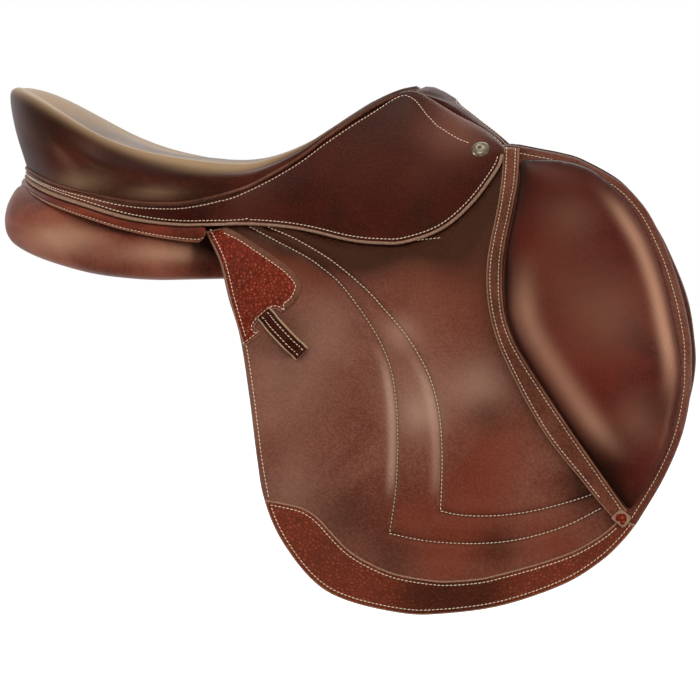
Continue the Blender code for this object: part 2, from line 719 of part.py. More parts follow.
def flap_knee_pad(side, name, parent):
    """The half-moon knee pad, crowned and drawn in along its seam."""
    outline = [flap_point(p) for p in loop_curve(KNEE_PAD, 18)]
    rise = KNEE_PAD_RISE
    rings = [(1.0, 0.0012), (0.965, 0.26 * rise), (0.90, 0.50 * rise), (0.78, 0.76 * rise),
             (0.58, 0.93 * rise), (0.30, rise)]
    pad = dome(outline, FLAP_THICKNESS + FIT, rings)
    finish(name, drape(pad, side), seat_leather(), parent)


def flap_patch(side, name, parent):
    """The bare pebbled patch at the flap's rear top."""
    low = FLAP_THICKNESS + FIT
    front = curve(PATCH, 14)
    rear = curve(FLAP_REAR[:4], 16)[1:-1]
    outline = [flap_point(p) for p in front] + [flap_point((p[0] + 1.2, p[1])) for p in rear[::-1]]
    finish(name, drape(plate(outline, low, low + TRIM_THICKNESS, 0.0005), side),
           pebbled_leather(), parent)


def corner_tab(side, name, parent):
    """The folded tab over the foot of the front strip."""
    low = FLAP_THICKNESS + 2 * FIT + STRIP_THICKNESS
    outline = [flap_point(p) for p in loop_curve(CORNER_TAB, 8)]
    finish(name, drape(plate(outline, low, low + TRIM_THICKNESS, 0.0005), side),
           pebbled_leather(), parent)


def keeper_loop(side, name, parent):
    """The raised strap that the end of the stirrup leather slides through."""
    start, end = (flap_point(p) for p in KEEPER_ENDS)
    along = end - start
    across = Vector((along.z, 0, -along.x)).normalized() * KEEPER_WIDTH / 2
    low = FLAP_THICKNESS + TRIM_THICKNESS + 2 * FIT
    rises = [0.0, 0.0, 0.45, 0.85, 1.0, 1.0, 0.85, 0.45, 0.0, 0.0]
    places = [0.0, 0.12, 0.18, 0.27, 0.38, 0.62, 0.73, 0.82, 0.88, 1.0]
    sections = []
    for rise, place in zip(rises, places):
        centre = start + along * place
        under = low + rise * KEEPER_ROOM
        over = under + KEEPER_THICKNESS
        section = []
        for edge, height in ((across, under), (-across, under), (-across, over), (across, over)):
            section.append(Vector((centre.x + edge.x, height, centre.z + edge.z)))
        sections.append(section)
    finish(name, drape(loft(sections), side), pebbled_leather(), parent)


def sweat_flap(side, name):
    """The under flap, next to the horse, which carries the blocks."""
    outline = [flap_point(p) for p in loop_curve(SWEAT_FLAP, 24)]
    top = -SWEAT_FLAP_OFFSET
    finish(name, drape(plate(outline, top - SWEAT_FLAP_THICKNESS, top), side), lining_leather())


def leg_block(outline, side, name):
    """A leather-covered block between the sweat flap and the flap."""
    points = [flap_point(p) for p in loop_curve(outline, 22)]
    low = -SWEAT_FLAP_OFFSET + FIT
    tall = -BLOCK_CLEARANCE - low
    rings = [(1.0, 0.35 * tall), (0.97, 0.75 * tall), (0.86, tall)]
    finish(name, drape(dome(points, low, rings), side), lining_leather())


def panel_relief(x):
    for (first, low), (second, high) in zip(PANEL_OUTER_RELIEF, PANEL_OUTER_RELIEF[1:]):
        if x <= second:
            return low + (high - low) * max(x - first, 0) / (second - first)
    return PANEL_OUTER_RELIEF[-1][1]


def panel(side, name):
    """One of the two wool-flocked panels that bear on the horse."""
    sections = []
    depth = PANEL_DEPTH / 0.034
    for x, inner, outer, bottom, top_out, top_in in PANEL:
        edge = seat_point((x, outer, 0.0)) / MM
        x = edge.x
        if bottom < 0:
            bottom *= depth

        def outside(z, x=x, edge=edge):
            if edge.y:
                return edge.y
            return drape_y(x * MM, z * MM) / MM - panel_relief(x)

        inner *= PANEL_INNER / 38.0 / MM
        tall = top_out - bottom
        middle = bottom + 0.45 * tall
        wide = outside(middle) - inner
        low_out = outside(bottom + 0.14 * tall)
        points = [(inner + 2, bottom + 0.30 * tall), (inner + 0.10 * wide, bottom + 0.08 * tall),
                  (inner + 0.35 * wide, bottom), (inner + 0.65 * wide, bottom + 0.01 * tall),
                  (low_out - 0.10 * wide, bottom + 0.10 * tall),
                  (outside(middle) - (0 if outer else 0.5), middle),
                  (outside(bottom + 0.8 * tall) - 0.05 * wide, bottom + 0.8 * tall),
                  (outside(top_out) - 0.18 * wide, top_out),
                  (inner + 0.55 * wide, (top_out + top_in) / 2), (inner + 0.2 * wide, top_in),
                  (inner, top_in - PANEL_SHOULDER * (top_in - bottom))]
        sections.append([Vector((x * MM, side * y * MM, z * MM)) for y, z in points])
    finish(name, loft(sections), lining_leather())


def channel_lining():
    """The leather that joins the panels over the channel."""
    sections = []
    for x, inner, _, bottom, _, top in PANEL[3:14]:
        x = seat_point((x, 0.0, 0.0)).x / MM
        half = inner * PANEL_INNER / 38.0 - FIT
        height = (top - PANEL_SHOULDER * (top - bottom * PANEL_DEPTH / 0.034)) * MM
        arch = 0.008
        ys = [-1.0, -0.55, 0.0, 0.55, 1.0]
        upper = [Vector((x * MM, half * s, height + arch * (1 - s * s))) for s in ys]
        lower = [p - Vector((0, 0, CHANNEL_LINING_THICKNESS)) for p in upper]
        sections.append(upper + lower[::-1])
    finish("channel_lining", loft(sections), lining_leather())


def tree():
    """Laminated tree: cantle, rails and head in one springy ring."""
    last = len(TREE_INNER) - 1
    half = []
    for k in range(TREE_STATIONS):
        place = last * k / (TREE_STATIONS - 1)
        inner = seat_point(at(TREE_INNER, place, mirrored=True))
        outer = seat_point(at(TREE_OUTER, place, mirrored=True))
        half.append((inner, outer))
    sections = []
    for inner, outer in half:
        sections.append(tree_section(inner, outer))
    for inner, outer in half[-2:0:-1]:
        section = tree_section(inner, outer)
        sections.append([Vector((p.x, -p.y, p.z)) for p in section])
    finish("tree", loft(sections, ring=True), tree_wood())


def tree_section(inner, outer):
    """Eight points round a rail, with its edges thinned."""
    width = outer - inner
    up = (Vector((0, 0, 1)) - width.normalized() * width.normalized().z).normalized()
    half = TREE_THICKNESS / 2
    thin = 0.6 * half
    return [inner + up * thin, inner + width * 0.3 + up * half, inner + width * 0.7 + up * half,
            outer + up * thin, outer - up * thin, inner + width * 0.7 - up * half,
            inner + width * 0.3 - up * half, inner - up * thin]


def head_plate():
    """Steel arch under the head, with its points down each side of the withers."""
    half = [metres(at(HEAD_ARCH, k * 0.5, mirrored=(k == 0))) for k in range(11)]
    line = half[::-1] + [Vector((p.x, -p.y, p.z)) for p in half[1:]]
    sections = []
    for k, point in enumerate(line):
        before = line[max(k - 1, 0)]
        after = line[min(k + 1, len(line) - 1)]
        along = (after - before).normalized()
        fore = Vector((1, 0, 0)) - along * along.x
        fore.normalize()
        out = along.cross(fore).normalized()
        a = fore * HEAD_PLATE_WIDTH / 2
        b = out * HEAD_PLATE_THICKNESS / 2
        sections.append([point - a - b, point + a - b, point + a + b, point - a + b])
    finish("head_plate", loft(sections), steel())


def strap_between(points, width, thickness, sideways):
    """A flat web along points; sideways is its width direction."""
    sections = []
    for k, point in enumerate(points):
        before = points[max(k - 1, 0)]
        after = points[min(k + 1, len(points) - 1)]
        along = (after - before).normalized()
        side = (sideways - along * sideways.dot(along)).normalized()
        up = along.cross(side).normalized()
        a = side * width / 2
        b = up * thickness / 2
        sections.append([point - a - b, point + a - b, point + a + b, point - a + b])
    return loft(sections)


def saddle_nail(side, name):
    """The domed nail that holds the skirt to the head of the tree."""
    upper, lower = band_lines(side)
    ahead = [k for k in range(1, len(upper)) if upper[k].x >= NAIL_X] or [len(upper) - 1]
    after, before = ahead[0], ahead[0] - 1
    part = (NAIL_X - upper[before].x) / (upper[after].x - upper[before].x)
    profile = band_profile(upper[before].lerp(upper[after], part),
                           lower[before].lerp(lower[after], part), side, True)
    height = fold_height(NAIL_X) + NAIL_ABOVE_FOLD
    share = min((k / 200 for k in range(201)), key=lambda k: abs(profile(k).z - height))
    down = (profile(share + 0.02) - profile(share - 0.02)).normalized()
    along = (fold_point(NAIL_X + 0.01, side) - fold_point(NAIL_X - 0.01, side)).normalized()
    out = along.cross(down).normalized()
    out *= 1 if out.y * side > 0 else -1
    centre = profile(share) + out * 2 * FIT
    turned = [(0.0, 1.0), (0.28, 1.0), (0.50, 0.93), (0.72, 0.62), (0.90, 0.22), (1.0, 0.05)]
    shapes = [(radius * NAIL_RADIUS, share * NAIL_RISE) for share, radius in turned]
    sections = [[centre + out * rise + radius * (math.cos(a) * along + math.sin(a) * down)
                 for a in (2 * math.pi * k / 14 for k in range(14))] for radius, rise in shapes]
    finish(name, loft(sections), chrome())


def pommel_facing():
    """The leather over the front of the head, between the two skirts."""
    half = []
    last = len(POMMEL_BACK) - 1
    for k in range(2 * last + 1):
        back = metres(at(POMMEL_BACK, k / 2, mirrored=(k == 0)))
        front = metres(at(POMMEL_FRONT, k / 2, mirrored=(k == 0)))
        half.append((back, front))
    line = [(Vector((b.x, -b.y, b.z)), Vector((f.x, -f.y, f.z))) for b, f in half[:0:-1]] + half
    sections = []
    for k, (back, front) in enumerate(line):
        before, after = line[max(k - 1, 0)], line[min(k + 1, len(line) - 1)]
        along = (after[0] + after[1] - before[0] - before[1]).normalized()
        out = (front - back).cross(along).normalized()
        if out.z < 0:
            out = -out
        crown = POMMEL_CROWN - (POMMEL_CROWN - FACING_CROWN) * min(abs(back.y) / 0.025, 1.0)
        middle = back.lerp(front, 0.5) + out * crown
        near_front = back.lerp(front, 0.85) + out * 0.0025
        lip = front - out * POMMEL_LIP - (front - back).normalized() * POMMEL_LIP * 0.7
        thick = out * FACING_THICKNESS
        sections.append([back, middle, near_front, front - out * 0.0015, lip,
                         near_front - thick * 1.2, middle - thick, back - thick])
    finish("pommel_facing", loft(sections), skirt_leather())


def cantle_facing():
    """The rolled strip under the band, from one end of the flaps round the back to the other."""
    half = []
    last = len(CANTLE_STRIP_LOW) - 1
    for k in range(14):
        place = last * k / 13
        top = seat_point(at(BAND_LOW, place, mirrored=(place < 1)))
        low = seat_point(at(CANTLE_STRIP_LOW, place, mirrored=(place < 1)))
        top.z -= 2 * FIT
        away = inward_at(low, 1, 0 if k == 0 else 1)
        half.append((top, low, away))
    line = [tuple(Vector((v.x, -v.y, v.z)) for v in station) for station in half[:0:-1]] + half
    sections = []
    for top, low, away in line:
        middle = top.lerp(low, 0.45) - away * 0.0028
        roll = top.lerp(low, 0.85) - away * 0.0022
        thick = away * CANTLE_STRIP_THICKNESS
        sections.append([top, middle, roll, low + away * 0.0015, low + thick,
                         middle + thick * 1.3, top + thick])
    finish("cantle_facing", loft(sections), pebbled_leather())


BAR_OUTER = SKIRT_INNER - BAR_UNDER_SKIRT
BAR_INNER = BAR_OUTER - BAR_THICKNESS
BAR_PLATE_OUTER = BAR_INNER - BAR_SLOT
BAR_PLATE_INNER = BAR_PLATE_OUTER - BAR_PLATE_THICKNESS
CATCH_PIN_X = BAR_REAR_X + CATCH_PIN_FROM_END


def catch_pivot():
    """The catch's pin on the pattern sheet: at mid height of the bar."""
    z = fold_height(CATCH_PIN_X) - BAR_DROP - BAR_HEIGHT / 2
    return Vector((CATCH_PIN_X, 0.0, z))


def pin_place(side):
    """The catch's pin where it meets the inner face of the bar."""
    place = catch_pivot()
    place.y = side * (drape_y(place.x, place.z) + BAR_INNER)
    return place


def pin_rod(side, radius, low, high, sides=8):
    """A short round bar on the catch's axis, square to the draped leathers."""
    slope = drape_rise(DRAPE_CUTS[1]) / DRAPE_CUTS[1]
    out = Vector((DRAPE_TAPER - slope * FOLD_SLOPE, side, slope))
    stretch = out.length
    out.normalize()
    first = out.orthogonal().normalized()
    second = out.cross(first)
    sections = []
    for offset in (low, high):
        centre = pin_place(side) + out * (offset - BAR_INNER) / stretch
        sections.append([centre + radius * (math.cos(a) * first + math.sin(a) * second)
                         for a in (2 * math.pi * k / sides for k in range(sides))])
    return loft(sections)


def stirrup_bar(side, name):
    """Forged bar on its base plate: open to the rear, where the stirrup leather slides on."""
    arm = 0.009
    rear, front = BAR_REAR_X, BAR_REAR_X + BAR_LENGTH
    soft = 0.003
    outline = [(rear, BAR_PLATE_INNER), (front, BAR_PLATE_INNER), (front, BAR_OUTER - soft),
               (front - soft, BAR_OUTER), (rear + soft, BAR_OUTER), (rear, BAR_OUTER - soft / 2),
               (rear, BAR_INNER), (front - arm - soft, BAR_INNER),
               (front - arm, BAR_INNER - soft), (front - arm, BAR_PLATE_OUTER + soft),
               (front - arm - soft, BAR_PLATE_OUTER), (rear, BAR_PLATE_OUTER)]
    rings = []
    for depth in (BAR_DROP, BAR_DROP + BAR_HEIGHT):
        rings.append([Vector((x, y, fold_height(x) - depth)) for x, y in outline])
    bar = finish(name, drape(loft(rings), side, cut=False), steel())
    hole = pin_rod(side, CATCH_PIN_RADIUS + 0.0005, BAR_INNER - 0.004, BAR_OUTER + 0.004)
    cutter = finish(f"catch_pin_hole_{name}", hole, steel())
    cutter.hide_render = True
    cutter.display_type = "WIRE"
    cut = bar.modifiers.new("Pin hole", "BOOLEAN")
    cut.operation = "DIFFERENCE"
    cut.object = cutter
    return bar


def stirrup_catch(side, name, parent):
    """The safety catch: a small lever on a pin through the bar's rear end."""
    pivot_place = catch_pivot()
    tail = Vector((-1.0, 0.0, -FOLD_SLOPE)).normalized() * CATCH_LENGTH
    up = Vector((-tail.z, 0.0, tail.x)).normalized()
    outline = [pivot_place + CATCH_RADIUS * (math.cos(a) * up - math.sin(a) * tail.normalized())
               for a in (math.pi * k / 6 for k in range(7))]
    outline += [pivot_place + tail * 0.75 - up * 0.0042, pivot_place + tail - up * 0.001,
                pivot_place + tail + up * 0.004, pivot_place + tail * 0.82 + up * 0.0045]
    if up.z < 0:
        outline.reverse()
    high = BAR_INNER - FIT
    lever = plate(outline, high - CATCH_THICKNESS, high, 0.0004)
    made = finish(name, drape(lever, side, cut=False), steel(), parent)
    pin = pin_rod(side, CATCH_PIN_RADIUS, high - CATCH_THICKNESS / 2, BAR_OUTER - 0.0008)
    stub = finish(f"catch_pin_{name}", pin, steel(), parent)
    stub.hide_render = True
    stub.display_type = "WIRE"
    join = made.modifiers.new("Pin", "BOOLEAN")
    join.operation = "UNION"
    join.object = stub


def billet(x, side, name, parent):
    """A girth strap with its row of punched holes, hung by its top edge."""
    half = BILLET_WIDTH / 2
    low, high = -BILLET_OFFSET - BILLET_THICKNESS, -BILLET_OFFSET
    mesh_data = bmesh.new()
    layers = []
    corners_at = [BILLET_FIRST_HOLE + (k - 0.5) * BILLET_HOLE_PITCH for k in range(BILLET_HOLES + 1)]
    for y in (low, high):
        def corner(across, down, y=y):
            return mesh_data.verts.new((x + across, y, BILLET_TOP_Z - down))
        rows = [(corner(-half, 0), corner(half, 0))]
        rows += [(corner(-half, down), corner(half, down)) for down in corners_at]
        holes = []
        for k in range(BILLET_HOLES):
            centre = BILLET_FIRST_HOLE + k * BILLET_HOLE_PITCH
            holes.append([corner(BILLET_HOLE_RADIUS * math.cos(a),
                                 centre - BILLET_HOLE_RADIUS * math.sin(a))
                          for a in (math.pi * i / 3 for i in range(6))])
        tip = [corner(half * 0.8, BILLET_LENGTH - 0.006), corner(0, BILLET_LENGTH),
               corner(-half * 0.8, BILLET_LENGTH - 0.006)]
        faces = [(rows[0][0], rows[0][1], rows[1][1], rows[1][0])]
        for k, hole in enumerate(holes):
            left, right = rows[k + 1]
            low_left, low_right = rows[k + 2]
            faces += [(right, low_right, hole[5], hole[0], hole[1]),
                      (left, right, hole[1], hole[2]),
                      (low_left, left, hole[2], hole[3], hole[4]),
                      (low_right, low_left, hole[4], hole[5])]
        faces.append((rows[-1][0], rows[-1][1], tip[0], tip[1], tip[2]))
        for face in faces:
            mesh_data.faces.new(face if y == low else tuple(reversed(face)))
        border = [row[1] for row in rows] + tip + [row[0] for row in reversed(rows)]
        layers.append((border, holes))
    (border, holes), (upper_border, upper_holes) = layers
    for k in range(len(border)):
        n = (k + 1) % len(border)
        mesh_data.faces.new((border[k], border[n], upper_border[n], upper_border[k]))
    for hole, upper_hole in zip(holes, upper_holes):
        for k in range(6):
            n = (k + 1) % 6
            mesh_data.faces.new((hole[n], hole[k], upper_hole[k], upper_hole[n]))
    bmesh.ops.recalc_face_normals(mesh_data, faces=mesh_data.faces)
    finish(name, drape(mesh_data, side), girth_leather(), parent)


def billet_x(number):
    """Middle of a girth strap, counted from the front."""
    return BILLET_FRONT_X - (number - 1) * BILLET_PITCH


def girth_web(side, middle_x, width, name):
    """Nylon web from under the tree's rail down behind the tops of the girth straps."""
    outer = -BILLET_OFFSET - BILLET_THICKNESS - FIT
    under_rail = [(0.062, 0.0025), (0.070, -0.006), (0.0758, -0.0105), (0.0805, -0.0162)]
    levels = [-0.0225, -0.032, -0.042]
    sections = []
    for y, above in under_rail:
        section = []
        for x, lift in ((-1, 0), (1, 0), (1, 1), (-1, 1)):
            x = middle_x + x * width / 2
            section.append(Vector((x, side * y, fold_height(x) + above - lift * WEB_THICKNESS)))
        sections.append(section)
    for above in levels + [None, None]:
        section = []
        for x, inward in ((-1, 0), (1, 0), (1, 1), (-1, 1)):
            x = middle_x + x * width / 2
            z = fold_height(x) + above if above else (0.0 if len(sections) == 7 else -0.014)
            y = drape_y(x, z) + outer - inward * WEB_THICKNESS
            section.append(Vector((x, side * y, z)))
        sections.append(section)
    finish(name, loft(sections), web())


def seat_web(side, name):
    """A long web from the head to the cantle, under the foam."""
    heights = [(155, 120.5), (140, 115.5), (119, 103), (81, 79.5), (43, 63), (12, 59.2),
               (-20, 58.6), (-50, 59), (-80, 62.5), (-112, 71), (-140, 80), (-167, 89)]
    sway = [15, 16, 17, 18, 19, 20, 22, 23, 24, 24, 24, 24]
    points = [seat_point((x, side * y, z)) for (x, z), y in zip(heights, sway)]
    finish(name, strap_between(points, SEAT_WEB_WIDTH, WEB_THICKNESS, Vector((0, 1, 0))), web())


def seat_web_cross():
    """The cross web, from rail to rail under the long webs."""
    points = [seat_point((-10, y, z)) for y, z in
              ((-63, 57.4), (-57, 58.2), (-40, 56.2), (0, 55.4), (40, 56.2), (57, 58.2), (63, 57.4))]
    strap = strap_between(points, CROSS_WEB_WIDTH, WEB_THICKNESS, Vector((1, 0, 0)))
    finish("seat_web_cross", strap, web())


def point_pocket(side, name):
    """Leather pouch that takes the end of the head plate's point."""
    wall = POINT_POCKET_WALL
    rear, front, low, high = 0.2065, 0.2435, -0.004, 0.020
    inner, outer = -0.0374, -0.0262

    def ring(z, draw):
        return [Vector((rear + draw, inner + draw, z)), Vector((front - draw, inner + draw, z)),
                Vector((front - draw, outer - draw, z)), Vector((rear + draw, outer - draw, z))]
    sections = [ring(low, 0.0), ring(high, 0.0), ring(high, wall),
                ring(high - POINT_POCKET_DEPTH, wall)]
    finish(name, drape(loft(sections), side, cut=False), lining_leather())


def remove_everything():
    for old in list(bpy.data.objects):
        bpy.data.objects.remove(old, do_unlink=True)


def build():
    remove_everything()
    seat_cover()
    seat_foam()
    seat_welt()
    tree()
    head_plate()
    channel_lining()
    pommel_facing()
    cantle_facing()
    seat_web_cross()
    for side, hand in ((-1, "right"), (1, "left")):
        skirt_band(side, f"skirt_band_{hand}")
        panel(side, f"panel_{hand}")
        sweat_flap(side, f"sweat_flap_{hand}")
        leg_block(KNEE_BLOCK, side, f"knee_block_{hand}")
        leg_block(THIGH_BLOCK, side, f"thigh_block_{hand}")
        saddle_nail(side, f"saddle_nail_{hand}")
        stirrup_bar(side, f"stirrup_bar_{hand}")
        point_pocket(side, f"point_pocket_{hand}")
        seat_web(side, f"seat_web_{hand}")
        girth_web(side, billet_x(1), WEB_WIDTH, f"girth_web_front_{hand}")
        girth_web(side, (billet_x(2) + billet_x(3)) / 2, REAR_WEB_WIDTH, f"girth_web_rear_{hand}")
        hinge = pivot(f"fold_{hand}", fold_point(FOLD_X, side))
        flap(side, f"flap_{hand}", hinge)
        flap_knee_pad(side, f"flap_knee_pad_{hand}", hinge)
        front_strip(side, f"front_strip_{hand}", hinge)
        bottom_trim(side, f"bottom_trim_{hand}", hinge)
        flap_patch(side, f"flap_patch_{hand}", hinge)
        keeper_loop(side, f"keeper_loop_{hand}", hinge)
        corner_tab(side, f"corner_tab_{hand}", hinge)
        skirt_lobe(side, f"skirt_{hand}", hinge)
        pin = pivot(f"catch_pin_{hand}", pin_place(side))
        stirrup_catch(side, f"stirrup_catch_{hand}", pin)
        for number in (1, 2, 3):
            x = billet_x(number)
            top_y = drape_y(x, BILLET_TOP_Z) - BILLET_OFFSET - BILLET_THICKNESS / 2
            top = pivot(f"billet_top_{number}_{hand}", Vector((x, side * top_y, BILLET_TOP_Z)))
            billet(x, side, f"billet_{number}_{hand}", top)


build()
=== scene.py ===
"""The looks of the close-contact jumping saddle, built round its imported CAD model.

The flap leathers are laid out flat, in millimetres on a pattern sheet, and draped over the
horse's side as in the CAD. Every piece is in metres in the CAD's frame: +X forward, +Y to the
rider's left, +Z up.
"""
import math

import bmesh
import bpy
import numpy as np
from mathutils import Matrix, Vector, geometry


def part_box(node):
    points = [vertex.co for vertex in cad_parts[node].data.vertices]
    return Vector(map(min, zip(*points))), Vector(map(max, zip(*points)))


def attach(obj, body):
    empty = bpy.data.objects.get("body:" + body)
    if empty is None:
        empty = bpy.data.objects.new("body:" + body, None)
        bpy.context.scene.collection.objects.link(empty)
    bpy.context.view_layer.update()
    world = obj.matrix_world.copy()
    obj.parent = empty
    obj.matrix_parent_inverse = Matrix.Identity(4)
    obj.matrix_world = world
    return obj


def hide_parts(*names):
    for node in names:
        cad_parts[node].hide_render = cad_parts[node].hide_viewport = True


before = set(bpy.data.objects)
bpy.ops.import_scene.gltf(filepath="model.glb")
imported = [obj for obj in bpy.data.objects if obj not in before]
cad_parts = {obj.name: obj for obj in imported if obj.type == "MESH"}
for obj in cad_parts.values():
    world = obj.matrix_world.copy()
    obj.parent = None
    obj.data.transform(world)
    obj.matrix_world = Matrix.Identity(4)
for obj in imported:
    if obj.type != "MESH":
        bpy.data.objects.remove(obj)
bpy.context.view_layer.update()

MM = 0.001
HANDS = (("right", -1), ("left", 1))

# The CAD's own sizes, in millimetres: the drape of the flap over the horse, and heights above the
# flap's inner face
FOLD_REAR, FOLD_HEIGHT, FOLD_SLOPE = -15.0, 13.0, 0.2575
HALF_WIDTH, TAPER = 100.0, 0.065
SPLAY, ROUND, ROUND_LENGTH = 0.20, 50.0, 115.0
STRAIGHT_DEPTH = 20.0
FLAP_TOP_FACE = 4.0
ON_FLAP = 4.05
SKIRT_IN, SKIRT_OUT = 5.5, 9.5
SWEAT_IN, SWEAT_OUT = -24.0, -20.0
BLOCK_LOW, BLOCK_RISE, KNEE_PAD_RISE = -19.7, 17.8, 25.0
TRIM_THICK, STRIP_THICK = 1.3, 2.3
PIPING_RADIUS, PIPING_DROP = 1.5, 1.7

# Sizes that only the looks have, in millimetres
STITCH_PITCH, STITCH_LENGTH, STITCH_THICK = 3.6, 1.45, 0.48
STITCH_SLANT = 0.10
THREAD_LIFT = 0.1
SEAT_STATIONS, RINGS_PER_POINT = 103, 5
BAND_STATIONS, FRONT_STATIONS, BAND_COLUMNS, BAND_THICK = 66, 84, 26, 4.0
CANTLE_STATIONS, KEEPER_STATIONS = 72, 67
# Mesh points beside a sewing line, and how far from it the plain grid of points stays
BESIDE_SEWING, SEWING_ROOM = (-3.4, -2.2, -1.1, 0, 1.1, 2.2, 3.4), 4.6
NAIL_RADIUS, NAIL_DISC, NAIL_SINK, NAIL_SHIFT = 9.4, 0.7, 1.65, (2.4, 0, -1.4)
# The nail's dome: how far each inset goes in, and how far it rises or sinks
NAIL_STEPS = ((0.4, 0.5), (1.2, 1.05), (1.8, 0.95), (2.2, 0.55), (1.6, 0.15), (0.25, -0.45), (0.5, -0.2))

# The seat, in millimetres, from the middle of the cantle round the left side to the pommel
WELT = [
    (-197, 0, 71), (-194, 34, 69.7), (-183.5, 66, 66.5), (-168, 96, 61), (-148, 122, 55),
    (-118, 138, 48), (-90, 137, 42), (-62, 122, 39), (-31, 104, 40), (13, 87, 51), (40, 79, 64),
    (68, 70, 81), (90, 62, 98), (113, 55, 114), (135, 45, 128), (155, 32, 138), (170, 16, 142.5),
    (175, 0, 143.5)]
RIM = [
    (-207, 0, 143), (-205, 30, 143.5), (-193, 60, 141), (-176, 84, 135), (-151, 103, 123.5),
    (-113, 115, 105), (-80, 110, 93), (-50, 96, 85.5), (-22, 83, 80), (15, 68, 75), (42, 60, 79.5),
    (70, 54, 90.4), (93, 48, 105), (116, 41, 120), (138, 33, 133.5), (157, 22, 141.7),
    (168, 11, 144.4), (172, 0, 145.2)]
# How far the seat's side swells out between welt and rim
SIDE_BULGE = [5, 6, 8, 10, 11, 11, 10, 9, 8, 6.5, 5.5, 5, 4, 3.5, 3, 2.5, 2, 2]
# How far the padding has settled along the seat's crest, and how broad the crest is (1 = 9 mm)
SEAT_SETTLE = [0, 0, 0.5, 1.5, 3, 5, 5.5, 5, 4, 2, 0.5, 0, 0, 0, 0, 0, 0, 0]
CREST_WIDTH = [
    1.3, 1.4, 1.6, 1.8, 1.9, 1.9, 1.8, 1.7, 1.5, 1.3, 1.0, 0.8, 0.7, 0.6, 0.5, 0.4, 0.25, 0.15]
# The seat's middle line, and how high the hollow lies between it and the rim, as a share
SEAT_SPINE = [
    (-112, 0, 91), (-80, 0, 81), (-50, 0, 76), (-20, 0, 74), (12, 0, 75.5), (43, 0, 81),
    (81, 0, 98), (119, 0, 123), (136, 0, 133.5)]
SEAT_DISH = [
    0.28, 0.28, 0.28, 0.3, 0.3, 0.3, 0.3, 0.35, 0.6, 0.35, 0.25, 0.25, 0.25, 0.25, 0.25, 0.3, 0.4,
    0.5]
# The lower edge of the fixed skirt band as far as the lobe, which starts at LOBE_REAR
BAND_LOW = [
    (-198, 0, 60.5), (-195, 34, 59), (-186.5, 67, 54.5), (-172, 100, 49), (-151, 128, 42.3),
    (-119, 146, 33.2), (-90, 145, 24.3), (-63, 131, 18.8), (-36, 117.5, 16.2), (-14, 110, 16.3)]
LOBE_REAR = -1.0
# The upper sewing row: x of the band's top edge, and how far below it the row lies
UPPER_ROW = [
    (-210, 3.2), (-150, 3.2), (-60, 4.0), (0, 5.0), (100, 5.5), (150, 5.2), (163, 6), (168, 9),
    (174, 14), (183, 25.2), (194, 33.9), (207, 36.3), (216, 36.7), (226, 34.7)]
# The raised raw edge along the foot of the band: x, and its width
RAW_EDGE = [
    (-210, 2.2), (-190, 3.0), (-150, 3.8), (-90, 3.8), (-50, 3.0), (-10, 2.8), (-1, 2.8), (5, 1.6),
    (11, 0.6), (40, 0.6)]
# The sewing row above the skirt's foot, as far as it runs on the fixed band
FOOT_ROW = [
    (-210, 4.5), (-190, 5.2), (-150, 6.0), (-90, 6.0), (-50, 5.2), (-10, 5.1), (-1, 5.2), (5, 3.8),
    (12, 2.1), (20, 0.5), (26, 0.4)]
CORNER_ROW = [(250, 4.0)]
# The skirt's front edge, and the outline of the lobe that lifts, on the pattern sheet
POMMEL_EDGE = [
    (155, 32, 137.6), (167, 31, 140.6), (178, 32, 138), (196, 36.5, 127.5), (212, 44, 118),
    (225, 52, 111.5), (236, 60, 105.5), (245, 66.5, 99.5), (251, 71.5, 94.5), (255, 77, 89.5),
    (256.8, 81, 85.5)]
SKIRT_LOBE = [
    (-1, 16.6), (5, 16.7), (20.5, 17.0), (39, 16.3), (57, 14.8), (74, 12.4), (91, 8.9), (109, 4.6),
    (127, 1.6), (145, 0.5), (165, 1), (193, 9.5), (212, 21), (231, 39.5), (246, 59.5), (253.5, 72),
    (256.8, 82.6)]
# The facings: the cantle strip's lower edge, and both edges of the pommel's
CANTLE_STRIP_LOW = [
    (-200, 0, 52.5), (-197, 34, 51), (-188, 66, 49), (-173, 100, 42), (-152, 129, 34),
    (-120, 147.5, 24), (-90, 146.5, 14.5), (-63, 132.5, 7.5), (-36, 119.5, 2.5), (-19, 112.5, 0.8)]
POMMEL_BACK = [
    (174.5, 0, 142.3), (170, 12, 141), (164, 23, 138), (172, 27, 137), (190, 29, 129.5),
    (206, 35.5, 120), (221, 43.5, 111), (236, 54, 101), (245, 61.5, 93), (250, 66.5, 87.5)]
POMMEL_FRONT = [
    (214, 0, 126.5), (215, 8, 126), (217, 15, 125), (220, 21, 122.5), (226, 28, 117.5),
    (233, 35.5, 111.5), (240.5, 44, 105.5), (249, 54, 98.5), (258, 64, 91), (264, 71, 85)]
